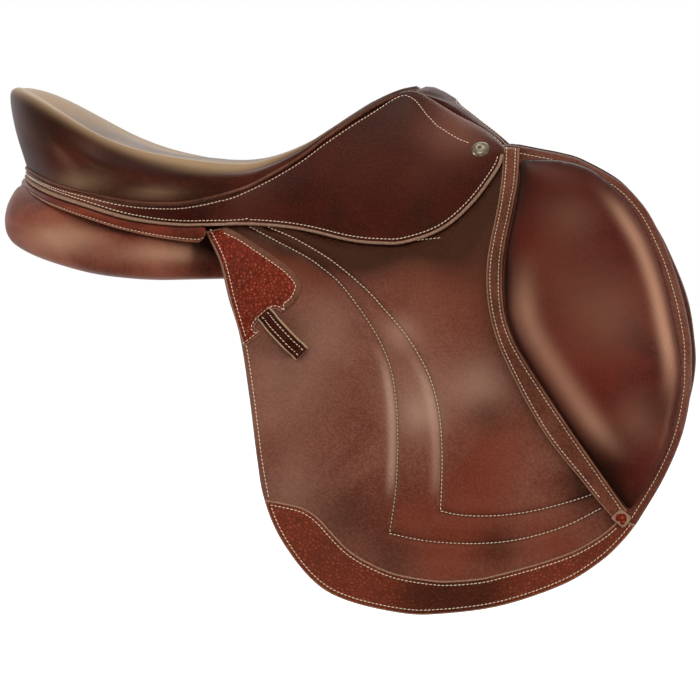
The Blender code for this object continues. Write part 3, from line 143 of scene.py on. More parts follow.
# The flap and all that is sewn on it, on the pattern sheet: x and height
FLAP_REAR = [
    (-17, 11.3), (-2, -16), (8.3, -49), (20.2, -84), (30.2, -136), (38.4, -189), (45.5, -224),
    (61.5, -259.5), (90.5, -295)]
FLAP_BOTTOM = [
    (90.5, -295), (121, -312), (169, -322.5), (204, -323), (257.5, -315.5), (312, -297),
    (345, -277), (365, -258.5), (378, -242.5)]
KNEE_EDGE = [
    (378, -242.5), (400.5, -205), (416.5, -168.5), (424.5, -133), (426, -107), (425, -81),
    (418, -46), (407, -11), (392, 22), (379, 41), (361, 58), (328, 76), (307.5, 82.2), (289, 85.8),
    (268, 90)]
BAR_NOTCH = [
    (240, 73.8), (232, 60), (218, 42), (190, 27), (150, 17), (122, 13), (110, 19), (105, 42)]
TRIM_TOP = [
    (45.9, -224.8), (62.9, -227.7), (78.2, -231.1), (87.2, -235.3), (96.3, -242.2), (105.4, -251.7),
    (119, -265.5), (132.5, -274.9), (150.4, -283.5), (168.2, -289.4), (194.8, -293.5),
    (212.5, -294.2), (239.1, -291.8), (256.7, -287.8), (283.1, -280.6), (309.6, -272.1),
    (327.2, -264.7), (344.8, -254.2), (357.1, -244.1), (361.5, -238.5)]
STRIP_PAD_SIDE = [
    (270, 87.5), (269.1, 58.6), (266.1, 40.6), (262.7, 22.7), (258.9, 4.9), (256.6, -12.9),
    (256, -30.7), (256.8, -48.3), (259.9, -66), (266.5, -83.6), (276.5, -101.1), (288.1, -118.6),
    (299.9, -136), (324.1, -170.8), (349, -205.5), (368, -232.5)]
STRIP_FLAP_SIDE = [
    (358, -240.5), (342, -222.9), (327.8, -205.6), (299.3, -171), (277.7, -136.2), (259.6, -101.2),
    (252, -83.6), (246.7, -66.1), (243.3, -48.4), (242, -30.7), (242.7, -13), (245.4, 4.8),
    (249, 22.7), (252.2, 40.6), (254.8, 63), (255.6, 89)]
KNEE_PAD = [
    (272.9, 75), (293.9, 77.4), (312.1, 76), (330, 71), (346, 61.5), (365, 43.5), (381, 20.5),
    (391, 1), (402, -30.1), (410, -65.3), (415, -91.7), (416.5, -113.6), (414, -135.5),
    (406.4, -168.7), (398.5, -187.9), (389.7, -205.3), (379.1, -220.5), (371.2, -230),
    (363.2, -222.4), (350.8, -206), (337.5, -188.6), (313.4, -153.9), (290, -118.5),
    (278.3, -100.7), (268.4, -83.4), (261.9, -66), (258.9, -48.4), (258.2, -30.7), (258.8, -13),
    (261.3, 4.8), (265, 22.7), (268.4, 40.6), (271.3, 58.6)]
PATCH = [
    (2.5, 15.2), (17.8, 8.3), (35.1, -2.4), (51.7, -13), (63.5, -21.5), (72.5, -31.5), (74.5, -39),
    (69.5, -50.5), (62, -57)]
PATCH_NOTCH = [
    (58, -61), (52, -57.5), (46, -59.5), (36, -68.5), (33, -74.5), (38, -79.5), (24, -91)]
KEEPER_ENDS = [(41, -61), (77, -97)]
CORNER_TAB = [
    (354.5, -238.5), (356, -236.5), (362, -231), (364, -231), (371.5, -237), (372, -239),
    (366.5, -246), (364.5, -246.5)]
# The sweat flap and its two blocks, on the pattern sheet
SWEAT_FLAP = [
    (-8, 6), (60, 4), (120, 9), (170, 17), (212, 29), (240, 50), (258, 66), (285, 74), (330, 69),
    (368, 48), (394, 18), (411, -15), (424, -50), (429.5, -85), (430, -110), (424, -140),
    (410, -172), (385, -210), (352, -243), (310, -268), (257, -286), (200, -293), (140, -284),
    (96, -259), (66, -222), (54, -180), (44, -130), (32, -84), (20, -46), (8, -16)]
KNEE_BLOCK = [
    (296, 48), (326, 50), (352, 30), (372, -8), (386, -60), (388, -110), (376, -160), (352, -188),
    (336, -176), (346, -130), (350, -84), (338, -36), (316, 2), (296, 26)]
THIGH_BLOCK = [
    (44, -62), (55, -60), (62, -92), (68, -140), (73, -182), (69, -194), (59, -187), (51, -144),
    (45, -100)]
# Sections of the panel: x, inner and outer width (0 follows the flap), bottom, top outside
# and top inside
PANEL = [
    (-207.5, 52, 74, 17, 30, 31), (-205, 44, 88, 7, 41, 42), (-196, 38, 106, -3, 51, 52),
    (-177, 38, 128, -12, 47, 49), (-152, 38, 144, -20, 38.5, 46), (-120, 38, 151, -28, 28, 44),
    (-90, 38, 149, -32, 18.5, 38), (-62, 38, 137, -34, 11, 30), (-36, 38, 120, -34, 5.5, 24),
    (-8, 38, 0, -34, -2, 22), (30, 38, 0, -33, 1, 24), (75, 39, 0, -31, 4, 28),
    (120, 41, 0, -29, 9, 34), (160, 44, 0, -28, 14, 38), (195, 48, 0, -30, 18, 36),
    (225, 52, 0, -34, 16, 26), (246, 58, 0, -30, 2, 10)]
# How far the panel's top leans in under the cantle strip: x and share
PANEL_LEAN = [(-205, 1), (-190, 1), (-177, 0.55), (-152, 0.12), (-120, 0)]
# How far the panel stands in from the flap, by x
PANEL_RELIEF = [(-40, 24.5), (150, 24.5), (180, 30), (200, 38.5), (260, 38.5)]

# Sewing lines on the flap
LINE_A = [
    (23.7, 15.8), (53.2, 1.2), (78.2, -11.2), (93.5, -21.5), (109.4, -34.5), (128.3, -57.4),
    (143.9, -80.5), (155.5, -104.5), (161.5, -131), (164.1, -160), (164.5, -189.6), (162.8, -220),
    (158.3, -253.7)]
LINE_A_FOOT = [
    (158.3, -253.7), (185.5, -259.1), (212.1, -261.5), (238.7, -261.7), (265.3, -259.3),
    (291.8, -253.4), (318.3, -244.2), (346, -230)]
LINE_B = [
    (40.4, 15.9), (64.9, 6), (90.3, -7.5), (109.1, -20), (133.9, -40.2), (149.1, -56),
    (164.8, -73.2), (176.8, -89), (189.4, -110.5), (197.2, -131), (201.7, -152), (203.8, -175),
    (204.3, -200), (203.4, -233.7)]
LINE_B_FOOT = [
    (203.4, -233.7), (220.8, -237.1), (247.4, -237.8), (274, -235.2), (300.5, -229.7), (327, -222),
    (341, -217)]
# The stitched mark below the skirt's foot
SKIRT_MARK = [(167, 3.2), (200, 6.6)]

# The studio, in metres and watts: lamps as name, place, aim, size and power
LAMPS = (("left", (-1.9, -1.1, 0.35), (0.0, 0, 0.0), (0.45, 1.3), 18),
         ("right", (2.1, -0.8, 0.25), (0.25, 0, -0.1), (0.45, 1.4), 24),
         ("front", (-0.3, -1.9, 1.5), (0.1, 0, -0.05), (1.2, 0.6), 13),
         ("top", (-0.1, -0.1, 1.9), (0.0, 0, 0.0), (1.1, 0.6), 9),
         ("back", (0.2, 1.9, 1.7), (0.1, 0, 0.0), (2.2, 0.8), 12))
FLOOR_HEIGHT = -0.46
CAMERA_DISTANCE, VIEW_CENTRE = 3.0, (0.109, 0.0, -0.1045)
PHOTO_PIXELS, PIXEL_MM = 700, 0.95

# Curves and the drape


def mirror(point):
    """The same point on the other side of the saddle."""
    return Vector((point.x, -point.y, point.z))


def to_side(point, side):
    """A point of the left side in millimetres, as metres on either side."""
    return Vector((point.x, side * point.y, point.z)) * MM


def on_curve(points, place, mirrored=False):
    """Point at a place, counted in control points, on the smooth curve through points."""
    last = len(points) - 1
    index = min(int(place), last - 1)
    part = place - index

    def pick(i):
        if 0 <= i <= last:
            return Vector(points[i])
        inner = Vector(points[-i] if i < 0 else points[2 * last - i])
        if mirrored:
            return mirror(inner)
        return 2 * Vector(points[0 if i < 0 else last]) - inner

    a, b, c, d = pick(index - 1), pick(index), pick(index + 1), pick(index + 2)
    return 0.5 * (2 * b + (c - a) * part + (2 * a - 5 * b + 4 * c - d) * part ** 2
                  + (3 * b - a - 3 * c + d) * part ** 3)


def smooth_value(values, place):
    """The same for a list of numbers."""
    return on_curve([(value, 0.0) for value in values], place).x


def spread(points, first, last, step):
    """Points about one step apart on the smooth curve between two of its control points."""
    result = []
    for index in range(first, last):
        span = (Vector(points[index + 1]) - Vector(points[index])).length
        count = max(1, round(span / step))
        result += [on_curve(points, index + k / count) for k in range(count)]
    return result


def curve_points(points, step):
    return spread(points, 0, len(points) - 1, step) + [Vector(points[-1])]


def loop_points(points, step):
    return spread([points[-1]] + points + points[:2], 1, len(points) + 1, step)


def even_steps(line, pitch):
    """Points one pitch apart along a polyline, with their directions."""
    line = [Vector(p) for p in line]
    ends = [(b - a).length for a, b in zip(line, line[1:])]
    total = sum(ends)
    count = max(1, int(total / pitch))
    pitch = total / count
    places, along, index, done = [], [], 0, 0.0
    for k in range(count):
        want = (k + 0.5) * pitch
        while index < len(ends) - 1 and done + ends[index] < want:
            done += ends[index]
            index += 1
        part = (want - done) / max(ends[index], 1e-9)
        places.append(line[index].lerp(line[index + 1], part))
        along.append((line[index + 1] - line[index]).normalized())
    return places, along


def fold_height(x):
    return FOLD_HEIGHT + FOLD_SLOPE * (x - FOLD_REAR)


def drape(x, z):
    """Half-width of the flap's inner face at pattern points, in millimetres."""
    x, z = np.asarray(x, float), np.asarray(z, float)
    depth = fold_height(x) - z

    def rise(t):
        return SPLAY * t + ROUND * (1 - np.exp(-t / ROUND_LENGTH))
    start = rise(STRAIGHT_DEPTH) / STRAIGHT_DEPTH
    return (HALF_WIDTH - TAPER * (x - FOLD_REAR)
            + np.where(depth < STRAIGHT_DEPTH, start * depth, rise(np.maximum(depth, STRAIGHT_DEPTH))))


def draped(x, z, height, side):
    """A point of the pattern sheet, height above the flap's inner face, in metres."""
    return Vector((x, side * (float(drape(x, z)) + height), z)) * MM


def fold_point(x, side):
    return draped(x, fold_height(x), SKIRT_OUT, side)


def ease(value, low, high):
    """0 below low and 1 above high, with a soft change between."""
    part = np.clip((value - low) / (high - low), 0, 1)
    return part * part * (3 - 2 * part)


def along_table(table, x):
    """Straight interpolation in a table of (x, value)."""
    return float(np.interp(x, [row[0] for row in table], [row[1] for row in table]))


def spots(points, places):
    """Soft round marks on the pattern sheet: x, z and radius."""
    total = 0.0
    for x, z, wide in places:
        total = total + np.exp(-((points[:, 0] - x) ** 2 + (points[:, 1] - z) ** 2) / wide ** 2)
    return np.clip(total, 0, 1)


def distance_to(points, line, closed=False):
    """Distance of each point (rows of x, z) from a polyline."""
    line = np.array([(p[0], p[1]) for p in line], float)
    ends = np.roll(line, -1, axis=0) if closed else line[1:]
    starts = line if closed else line[:-1]
    best = np.full(len(points), 1e9)
    for start, end in zip(starts, ends):
        along = end - start
        size = max(float(along @ along), 1e-12)
        part = np.clip(((points - start) @ along) / size, 0, 1)
        best = np.minimum(best, np.linalg.norm(points - start - part[:, None] * along, axis=1))
    return best


# Materials

def colour(text):
    """An sRGB hex colour as the linear value that a shader takes."""
    value = [int(text[i:i + 2], 16) / 255 for i in (1, 3, 5)]
    return [v / 12.92 if v <= 0.04045 else ((v + 0.055) / 1.055) ** 2.4 for v in value] + [1.0]


def node(tree, kind, inputs=None, stops=(), **settings):
    """Add a node with its settings, link or set its inputs, and give a ramp its stops."""
    made = tree.nodes.new("ShaderNode" + kind)
    for key, value in settings.items():
        setattr(made, key, value)
    for name, value in (inputs or {}).items():
        if isinstance(value, bpy.types.NodeSocket):
            tree.links.new(value, made.inputs[name])
        else:
            made.inputs[name].default_value = value
    for _ in stops[2:]:
        made.color_ramp.elements.new(0.5)
    for number, (place, tone) in enumerate(stops):
        made.color_ramp.elements[number].position = place
        made.color_ramp.elements[number].color = tone
    return made


def new_material(name):
    made = bpy.data.materials.new(name)
    made.use_nodes = True
    tree = made.node_tree
    tree.nodes.clear()
    shader = node(tree, "BsdfPrincipled")
    node(tree, "OutputMaterial", {"Surface": shader.outputs[0]})
    return made, tree, shader


def grey(value):
    return (value, value, value, 1.0)


# Widths that all the leathers share, in millimetres: fibres, uneven wax and creases
FIBRE_MM, WAX_MM, CREASE_MM = 3.846, 26.32, 11.11


def leather(name, tones, grain_mm, grain_depth, roughness, wrinkle=0.25, pebbled=False,
            patina_mm=55.0, shine=0.15, fleck=0.06):
    """Dressed cowhide: dye lies unevenly in patches some centimetres wide, pores and pebbles catch the
    light, painted highlights and wear are mixed in paler, painted shade is multiplied in darker, and
    wax gives a warm shine. Tones run from the darkest, which the painted shade also uses, to the light
    patches, then the pale tone of painted highlights and wear, and the burnished one."""
    dark, mid, light, sheen_and_wear, warm = (colour(tone) for tone in tones)
    made, tree, shader = new_material(name)
    place = node(tree, "TexCoord").outputs["Object"]
    patches = node(tree, "TexNoise", {"Vector": place, "Scale": 1000 / patina_mm, "Detail": 5.0,
                                      "Roughness": 0.55, "Distortion": 0.6})
    tone = node(tree, "ValToRGB", {0: patches.outputs[0]},
                stops=[(0.30, dark), (0.50, mid), (0.72, light)])
    # Fibres under the dye, some 4 mm long
    fibres = node(tree, "TexNoise", {"Vector": place, "Scale": 1000 / FIBRE_MM, "Detail": 4.0})
    speckle = node(tree, "ValToRGB", {0: fibres.outputs[0]}, stops=[(0.35, dark), (0.65, light)])
    tone = node(tree, "MixRGB", {0: 0.18, 1: tone.outputs[0], 2: speckle.outputs[0]})
    cells = node(tree, "TexVoronoi", {"Vector": place, "Scale": 1000 / grain_mm, "Randomness": 1.0},
                 feature="DISTANCE_TO_EDGE" if pebbled else "F1").outputs["Distance"]
    if pebbled:
        # The cracks between pebbles are darker, and their crowns take a painted highlight in the pale
        # tone
        grain_stops = [(0.0, grey(0)), (0.16, grey(0.7)), (0.45, grey(1))]
        flecks = (([(0.0, grey(0.85)), (0.16, grey(0.255)), (0.45, grey(0))], dark),
                  ([(0.18, grey(0)), (0.5, grey(0.3))], sheen_and_wear))
    else:
        # The skin between pores is rubbed paler, and the pores hold dye
        grain_stops = [(0.15, grey(1)), (0.75, grey(0.2))]
        flecks = (([(0.12, grey(fleck)), (0.5, grey(0))], sheen_and_wear),
                  ([(0.5, grey(0)), (0.9, grey(2.5 * fleck))], dark))
    grain = node(tree, "ValToRGB", {0: cells}, stops=grain_stops).outputs[0]
    for stops, stain in flecks:
        amount = node(tree, "ValToRGB", {0: cells}, stops=stops).outputs[0]
        tone = node(tree, "MixRGB", {0: amount, 1: tone.outputs[0], 2: stain})
    # Painted highlights, with some wear, mix in the pale tone, warm patches mix in red-brown, and
    # painted shade multiplies by the darkest tone
    for mark, stain, blend in (("wear_and_highlight", sheen_and_wear, "MIX"), ("warm", warm, "MIX"), ("shade", dark, "MULTIPLY")):
        amount = node(tree, "Attribute", attribute_name=mark).outputs["Fac"]
        tone = node(tree, "MixRGB", {0: amount, 1: tone.outputs[0], 2: stain}, blend_type=blend)
    tree.links.new(tone.outputs[0], shader.inputs["Base Color"])
    uneven = node(tree, "TexNoise", {"Vector": place, "Scale": 1000 / WAX_MM, "Detail": 3.0})
    rough = node(tree, "MapRange", {0: uneven.outputs[0], 3: roughness - 0.06, 4: roughness + 0.09})
    tree.links.new(rough.outputs[0], shader.inputs["Roughness"])
    for socket, value in (("IOR", 1.5), ("Specular IOR Level", shine),
                          ("Specular Tint", colour("#ffc090")), ("Sheen Weight", 0.02),
                          ("Sheen Roughness", 0.45), ("Sheen Tint", colour("#c8906c"))):
        shader.inputs[socket].default_value = value
    creases = node(tree, "TexNoise", {"Vector": place, "Scale": 1000 / CREASE_MM, "Detail": 6.0,
                                      "Roughness": 0.62, "Distortion": 1.2})
    creased = node(tree, "Bump", {"Strength": wrinkle, "Distance": 0.7 * MM,
                                  "Height": creases.outputs[0]})
    grained = node(tree, "Bump", {"Strength": 0.6, "Distance": grain_depth * MM, "Height": grain,
                                  "Normal": creased.outputs[0]})
    tree.links.new(grained.outputs[0], shader.inputs["Normal"])
    return made


def plain_finish(name, base, second, mark_mm, roughness, metallic=0.0, stretch=(1, 1, 1), depth=0.1,
                 kind="TexNoise"):
    """Wood, web, foam, thread and metal: one tone broken by fine marks of a width in millimetres."""
    made, tree, shader = new_material(name)
    place = node(tree, "Mapping", {"Vector": node(tree, "TexCoord").outputs["Object"],
                                   "Scale": stretch}).outputs[0]
    # Noise has patches about one unit wide, and a wave's bands lie tau / 20 of a unit apart
    scale = 1000 / mark_mm * (math.tau / 20 if kind == "TexWave" else 1)
    pattern = node(tree, kind, {"Vector": place, "Scale": scale}).outputs["Fac"]
    tone = node(tree, "ValToRGB", {0: pattern}, stops=[(0.3, colour(base)), (0.7, colour(second))])
    tree.links.new(tone.outputs[0], shader.inputs["Base Color"])
    bump = node(tree, "Bump", {"Strength": 0.4, "Distance": depth * MM, "Height": pattern})
    tree.links.new(bump.outputs[0], shader.inputs["Normal"])
    shader.inputs["Roughness"].default_value = roughness
    shader.inputs["Metallic"].default_value = metallic
    return made


# Waxed calf, seat: pores under 1 mm, polished by breeches, so it shines in broad soft highlights. Its
# pale beige tone is painted on as a highlight along the crest
SEAT_LEATHER = leather("waxed calf", ("#1a0605", "#34100c", "#471912", "#a08464", "#56201a"),
                       0.9, 0.05, 0.34, wrinkle=0.06, shine=0.13)
# Waxed calf drawn tight over a stuffed pad: smooth, deep red, with wide patches of dye, and a pale tone
# for its painted highlights
KNEE_LEATHER = leather("waxed calf, knee pad",
                       ("#300d0b", "#4e1a15", "#5c231c", "#b08268", "#641c12"),
                       1.0, 0.06, 0.29, wrinkle=0.12, patina_mm=80.0, shine=0.1)
# Panel calf: soft and thin, with painted highlights paler where it swells
PANEL_LEATHER = leather("panel calf", ("#481c13", "#6e3426", "#864a38", "#b08a70", "#823a28"),
                        1.1, 0.06, 0.35, wrinkle=0.10, shine=0.17)
# Skirt leather: dark maroon, smooth, satin. Its pores are near 1 mm, drawn at 1.8 mm to show
SKIRT_LEATHER = leather("skirt leather", ("#1c0202", "#2c0403", "#3c0c08", "#84503e", "#6a2418"),
                        1.8, 0.2, 0.36, wrinkle=0.12, shine=0.1, fleck=0.08)
# Grained flap leather: an even grain, near 1.5 mm and drawn at 2.1 mm to show, and a pale brown for
# painted highlights and sheen
FLAP_LEATHER = leather("grained flap leather",
                       ("#4a170e", "#62352a", "#764a3c", "#ac8874", "#70301e"),
                       2.1, 0.5, 0.37, wrinkle=0.35, patina_mm=90.0, shine=0.2, fleck=0.1)
# Pebbled buffalo: deep red pebbles of 2 to 3 mm over dark cracks, each with a painted highlight on its
# crown
PEBBLED = leather("pebbled buffalo", ("#420c04", "#7c1e10", "#8a2c1a", "#b87858", "#8a3820"),
                  3.3, 0.7, 0.32, wrinkle=0.12, pebbled=True, patina_mm=60.0, shine=0.18)
# Lining calf: matt, undressed brown that is never polished
LINING = leather("lining calf", ("#3a2018", "#543226", "#664034", "#8a6248", "#6a3c28"),
                 1.2, 0.08, 0.52)
# Bridle butt: the billets' thick leather, waxed and nearly plain
STRAP_LEATHER = leather("bridle butt", ("#321a12", "#4f2c20", "#62392b", "#8d6248", "#6a3422"),
                        1.0, 0.06, 0.44)
# Piping calf: thin leather pulled round a cord, so its dye is stretched paler
PIPING = leather("piping calf", ("#3a1c14", "#5e382a", "#785040", "#94664a", "#6a3422"),
                 1.0, 0.05, 0.42)
# Strip leather: as the flap's, with more dye and a flecked grain
STRIP_LEATHER = leather("strip leather", ("#3a180e", "#5e3024", "#724132", "#94684e", "#743824"),
                        2.2, 0.35, 0.38, shine=0.22, fleck=0.15)
# Cantle strip leather: bright red-brown with a glazed face
CANTLE_LEATHER = leather("cantle strip leather",
                         ("#380e08", "#602217", "#742e1f", "#96604a", "#8a3c26"),
                         1.3, 0.08, 0.34, shine=0.24)
# Rolled edge leather: skived thin and turned over, which stretches it to tan. On the cantle strip's
# rolled foot this pale tan is partly a painted highlight
ROLL_LEATHER = leather("rolled edge leather",
                       ("#5a3020", "#85553f", "#a0705a", "#b8957a", "#96603f"), 1.2, 0.06, 0.42)
# Raw and painted edges are paler than the faces, with layers of fibre near 1 mm
CUT_EDGE = plain_finish("cut leather edge", "#5e3c2a", "#9a765a", 1.111, 0.62, depth=0.12)
RAW_TAN = plain_finish("raw keeper edge", "#7c6448", "#a88c66", 1.25, 0.6, depth=0.12)
DARK_EDGE = plain_finish("painted leather edge", "#3c2018", "#6a4636", 1.429, 0.5, depth=0.1)
# Waxed linen thread: cream, its twist under 0.5 mm
THREAD = plain_finish("waxed linen thread", "#c0a084", "#ecd6b8", 0.4545, 0.6, depth=0.12)
# Nylon web: greyish, with fine ribs 0.45 mm apart. Seat foam: open cells, drawn at 2 mm
WEB = plain_finish("nylon web", "#8b8577", "#a9a392", 0.4488, 0.85, kind="TexWave", depth=0.25)
FOAM = plain_finish("seat foam", "#c8b98c", "#ddd0a6", 2.0, 0.95, depth=0.3)
# Laminated beech: long pale grain. Forged steel and aged nickel plate: bare metal, softly polished
BEECH = plain_finish("laminated beech", "#a97b4c", "#c79a66", 25.0, 0.55, stretch=(0.4, 3, 6),
                     depth=0.1)
FORGED = plain_finish("polished forged steel", "#9b9b9c", "#b9b9ba", 6.25, 0.28, 1.0, depth=0.02)
NICKEL = plain_finish("aged nickel plate", "#4c4438", "#7c705e", 4.167, 0.26, 1.0, depth=0.03)
# The nail's centre: tarnish and wax in a dimple, nearly black
NAIL_HOLE = plain_finish("nail centre", "#141210", "#26221e", 3.333, 0.6)


# Making pieces

def new_object(name, data):
    made = bpy.data.objects.new(name, data)
    bpy.context.collection.objects.link(made)
    return made


def add_piece(name, places, faces, looks, body, stands_for=(), face_looks=None, marks=None,
              crease=45.0):
    """A mesh object in metres that rides on a body, with its face materials and marks."""
    mesh = bpy.data.meshes.new(name)
    mesh.from_pydata([tuple(p) for p in places], [], [list(f) for f in faces])
    for look in looks:
        mesh.materials.append(look)
    if face_looks is not None:
        mesh.polygons.foreach_set("material_index", np.asarray(face_looks, np.int32))
    write_marks(mesh, marks or {})
    made = new_object(name, mesh)
    shape = bmesh.new()
    shape.from_mesh(mesh)
    bmesh.ops.recalc_face_normals(shape, faces=shape.faces)
    shape.to_mesh(mesh)
    shape.free()
    smooth_shade(mesh, crease)
    register(made, body, stands_for)
    return made


def write_marks(mesh, marks):
    """Painted highlights with wear, warm patches, and painted shade and darkening as values on the
    points, which the leathers read.
    """
    for key, values in marks.items():
        mesh.attributes.new(key, "FLOAT", "POINT").data.foreach_set(
            "value", np.asarray(values, np.float32))


def smooth_shade(mesh, crease):
    """Smooth shading, with an edge sharp where its faces turn by more than the crease angle."""
    mesh.shade_smooth()
    mesh.set_sharp_from_angle(angle=math.radians(crease))


def register(piece, body, stands_for=()):
    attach(piece, body)
    if stands_for:
        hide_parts(*stands_for)


def inset_loop(loop, distance):
    """A closed outline moved inwards, in millimetres."""
    count = len(loop)
    area = sum(loop[k][0] * loop[(k + 1) % count][1] - loop[(k + 1) % count][0] * loop[k][1]
               for k in range(count))
    turn = 1 if area > 0 else -1
    result = []
    for k in range(count):
        along = (Vector(loop[(k + 1) % count]) - Vector(loop[k - 1])).normalized()
        result.append(Vector(loop[k]) + turn * distance * Vector((-along.y, along.x)))
    return result


def inside_loop(points, loop):
    """True for each point inside a closed outline."""
    loop = np.array([(p[0], p[1]) for p in loop], float)
    hit = np.zeros(len(points), bool)
    for a, b in zip(loop, np.roll(loop, -1, axis=0)):
        cross = (a[1] > points[:, 1]) != (b[1] > points[:, 1])
        if abs(b[1] - a[1]) > 1e-9:
            at_x = a[0] + (points[:, 1] - a[1]) * (b[0] - a[0]) / (b[1] - a[1])
            hit ^= cross & (points[:, 0] < at_x)
    return hit


def offset_line(line, distance):
    """An open pattern line moved to its left, in millimetres."""
    result = []
    for k, p in enumerate(line):
        along = (Vector(line[min(k + 1, len(line) - 1)]) - Vector(line[max(k - 1, 0)])).normalized()
        result.append(Vector(p) + distance * Vector((-along.y, along.x)))
    return result


def fill_outline(outline, rings, spacing, lines=()):
    """Triangles that fill an outline, with rings close to its edge and points beside the sewing
    lines. Returns points and faces."""
    loops = [outline] + [inset_loop(outline, d) for d in rings]
    flat = [Vector(p) for loop in loops for p in loop]
    edge = np.array([(p[0], p[1]) for p in outline])
    lo, hi = edge.min(0), edge.max(0)
    grid = []
    for row, z in enumerate(np.arange(lo[1] + spacing / 2, hi[1], spacing * 0.87)):
        shift = spacing / 2 if row % 2 else 0.0
        grid += [(x, z) for x in np.arange(lo[0] + shift, hi[0], spacing)]
    grid = np.array(grid)
    clear = rings[-1] + spacing * 0.55
    grid = grid[(distance_to(grid, outline, True) > clear) & inside_loop(grid, outline)]
    for line in lines:
        beside = [p for d in BESIDE_SEWING for p in offset_line(line, d)]
        beside = np.array([(p[0], p[1]) for p in beside])
        beside = beside[(distance_to(beside, outline, True) > clear) & inside_loop(beside, outline)]
        grid = grid[distance_to(grid, line) > SEWING_ROOM]
        grid = np.vstack([grid, beside])
    flat += [Vector(p) for p in grid]
    count = len(outline)
    border = [(k, (k + 1) % count) for k in range(count)]
    places, _, faces, *_ = geometry.delaunay_2d_cdt(flat, border, [], 1, 1e-4)
    return np.array([(p.x, p.y) for p in places]), [list(f) for f in faces]


def border_edges(faces):
    seen = {}
    for face in faces:
        for a, b in zip(face, face[1:] + face[:1]):
            key = (min(a, b), max(a, b))
            seen[key] = None if key in seen else (a, b)
    return [pair for pair in seen.values() if pair]


def rounding(away, width):
    """How far a rounded edge has dropped, as a share of its width, by the distance from it."""
    inside = np.clip(away / width, 0, 1)
    return 1 - np.sqrt(1 - (1 - inside) ** 2)


def face_means(values, faces):
    return np.array([values[face].mean(0) for face in faces])


def both_faces(faces, count):
    """Faces of a sheet closed all round: its top, its underside and its edge."""
    every = list(faces) + [[count + i for i in reversed(face)] for face in faces]
    return every + [[b, a, count + a, count + b] for a, b in border_edges(faces)]


def add_sheet(name, flat, faces, low, top, side, looks, body, stands_for, top_looks=None,
              marks=None, under=0.0, crease=45.0):
    """A sheet draped on the horse's side between two heights. The edge takes the second look, and
    under is the marks' share on the underside."""
    wide = drape(flat[:, 0], flat[:, 1])
    places = np.vstack([np.column_stack([flat[:, 0], side * (wide + height), flat[:, 1]])
                        for height in (top, low)]) * MM
    every = both_faces(faces, len(flat))
    face_looks = None
    if top_looks is not None:
        face_looks = np.ones(len(every), int)
        face_looks[:len(faces)] = top_looks
        face_looks[len(faces):2 * len(faces)] = 0
    values = {key: np.concatenate([mark(flat), under * mark(flat)])
              for key, mark in (marks or {}).items()}
    return add_piece(name, places, every, looks, body, stands_for, face_looks, values, crease)


def leather_sheet(name, outline, low, high, side, looks, body, stands_for=(), spacing=4.0,
                  edge=1.0, shown_edge=1.3, relief=None, marks=None, lines=(), bound=None):
    """A leather of even thickness with a rounded edge, laid on the horse's side. The third look
    lies along a bound edge, given as its line and the binding's width."""
    flat, faces = fill_outline(outline, (0.35 * edge, edge, 2.2 * edge), spacing, lines)
    away = distance_to(flat, outline, True)
    top = high - edge * rounding(away, edge)
    if relief is not None:
        top = top + relief(flat) * np.clip((away - edge) / 2.0, 0, 1)
    top_looks = (face_means(away, faces) < shown_edge).astype(int)
    if bound:
        top_looks[distance_to(face_means(flat, faces), bound[0]) < bound[1]] = 2
    add_sheet(name, flat, faces, low, top, side, looks, body, stands_for, top_looks, marks)


def grid_faces(rows, columns, wrap_rows=False, wrap_columns=True):
    faces = []
    for i in range(rows if wrap_rows else rows - 1):
        for k in range(columns if wrap_columns else columns - 1):
            a, b = i * columns + k, i * columns + (k + 1) % columns
            c = ((i + 1) % rows) * columns
            faces.append((a, b, c + (k + 1) % columns, c + k))
    return faces


def swept_faces(rows, columns):
    """Faces of a closed section swept along rows, with both ends filled."""
    total = rows * columns
    ends = [tuple(range(columns)), tuple(reversed(range(total - columns, total)))]
    return grid_faces(rows, columns) + ends


def tube(name, line, radius, look, body="saddle", stands_for=(), sides=10, closed=False):
    """A round cord or rolled edge along a line of points in metres."""
    count = len(line)
    places = []
    for k, point in enumerate(line):
        before = line[k - 1] if closed or k else line[0]
        after = line[(k + 1) % count] if closed or k < count - 1 else line[-1]
        along = (after - before).normalized()
        out = Vector((along.y, -along.x, 0)).normalized()
        up = along.cross(out).normalized()
        for i in range(sides):
            turn = 2 * math.pi * i / sides
            places.append(point + radius * (math.cos(turn) * out + math.sin(turn) * up))
    faces = grid_faces(count, sides, wrap_rows=True) if closed else swept_faces(count, sides)
    add_piece(name, places, faces, [look], body, stands_for)


# One stitch: a short barrel of thread, drawn in at both ends, lying along X
bpy.ops.object.select_all(action="DESELECT")
bpy.ops.mesh.primitive_uv_sphere_add(segments=6, ring_count=4, radius=1.0)
stitch_model = bpy.context.object
STITCH_POINTS = np.array([v.co[:] for v in stitch_model.data.vertices])[:, [2, 0, 1]]
STITCH_FACES = [list(p.vertices) for p in stitch_model.data.polygons]
bpy.data.objects.remove(stitch_model)


def sew(name, rows, body):
    """Stitches along rows. A row is a list of (place, outward direction) in metres."""
    points, faces = [], []
    for row in rows:
        line = [place for place, _ in row]
        places, along = even_steps(line, STITCH_PITCH * MM)
        lengths = np.cumsum([0] + [(b - a).length for a, b in zip(line, line[1:])])
        for k, (place, way) in enumerate(zip(places, along)):
            index = int(np.searchsorted(lengths, (k + 0.5) * lengths[-1] / len(places)))
            facing = row[min(index, len(row) - 1)][1]
            across = facing.cross(way).normalized()
            way = (way + across * STITCH_SLANT).normalized()
            out = way.cross(across).normalized()
            if out.dot(facing) < 0:
                out = -out
            start = len(points)
            for x, y, z in STITCH_POINTS:
                points.append(place + (way * x * STITCH_LENGTH + across * y * STITCH_THICK
                                       + out * z * STITCH_THICK) * MM)
            faces += [[start + i for i in face] for face in STITCH_FACES]
    add_piece(name, points, faces, [THREAD], body, crease=80)


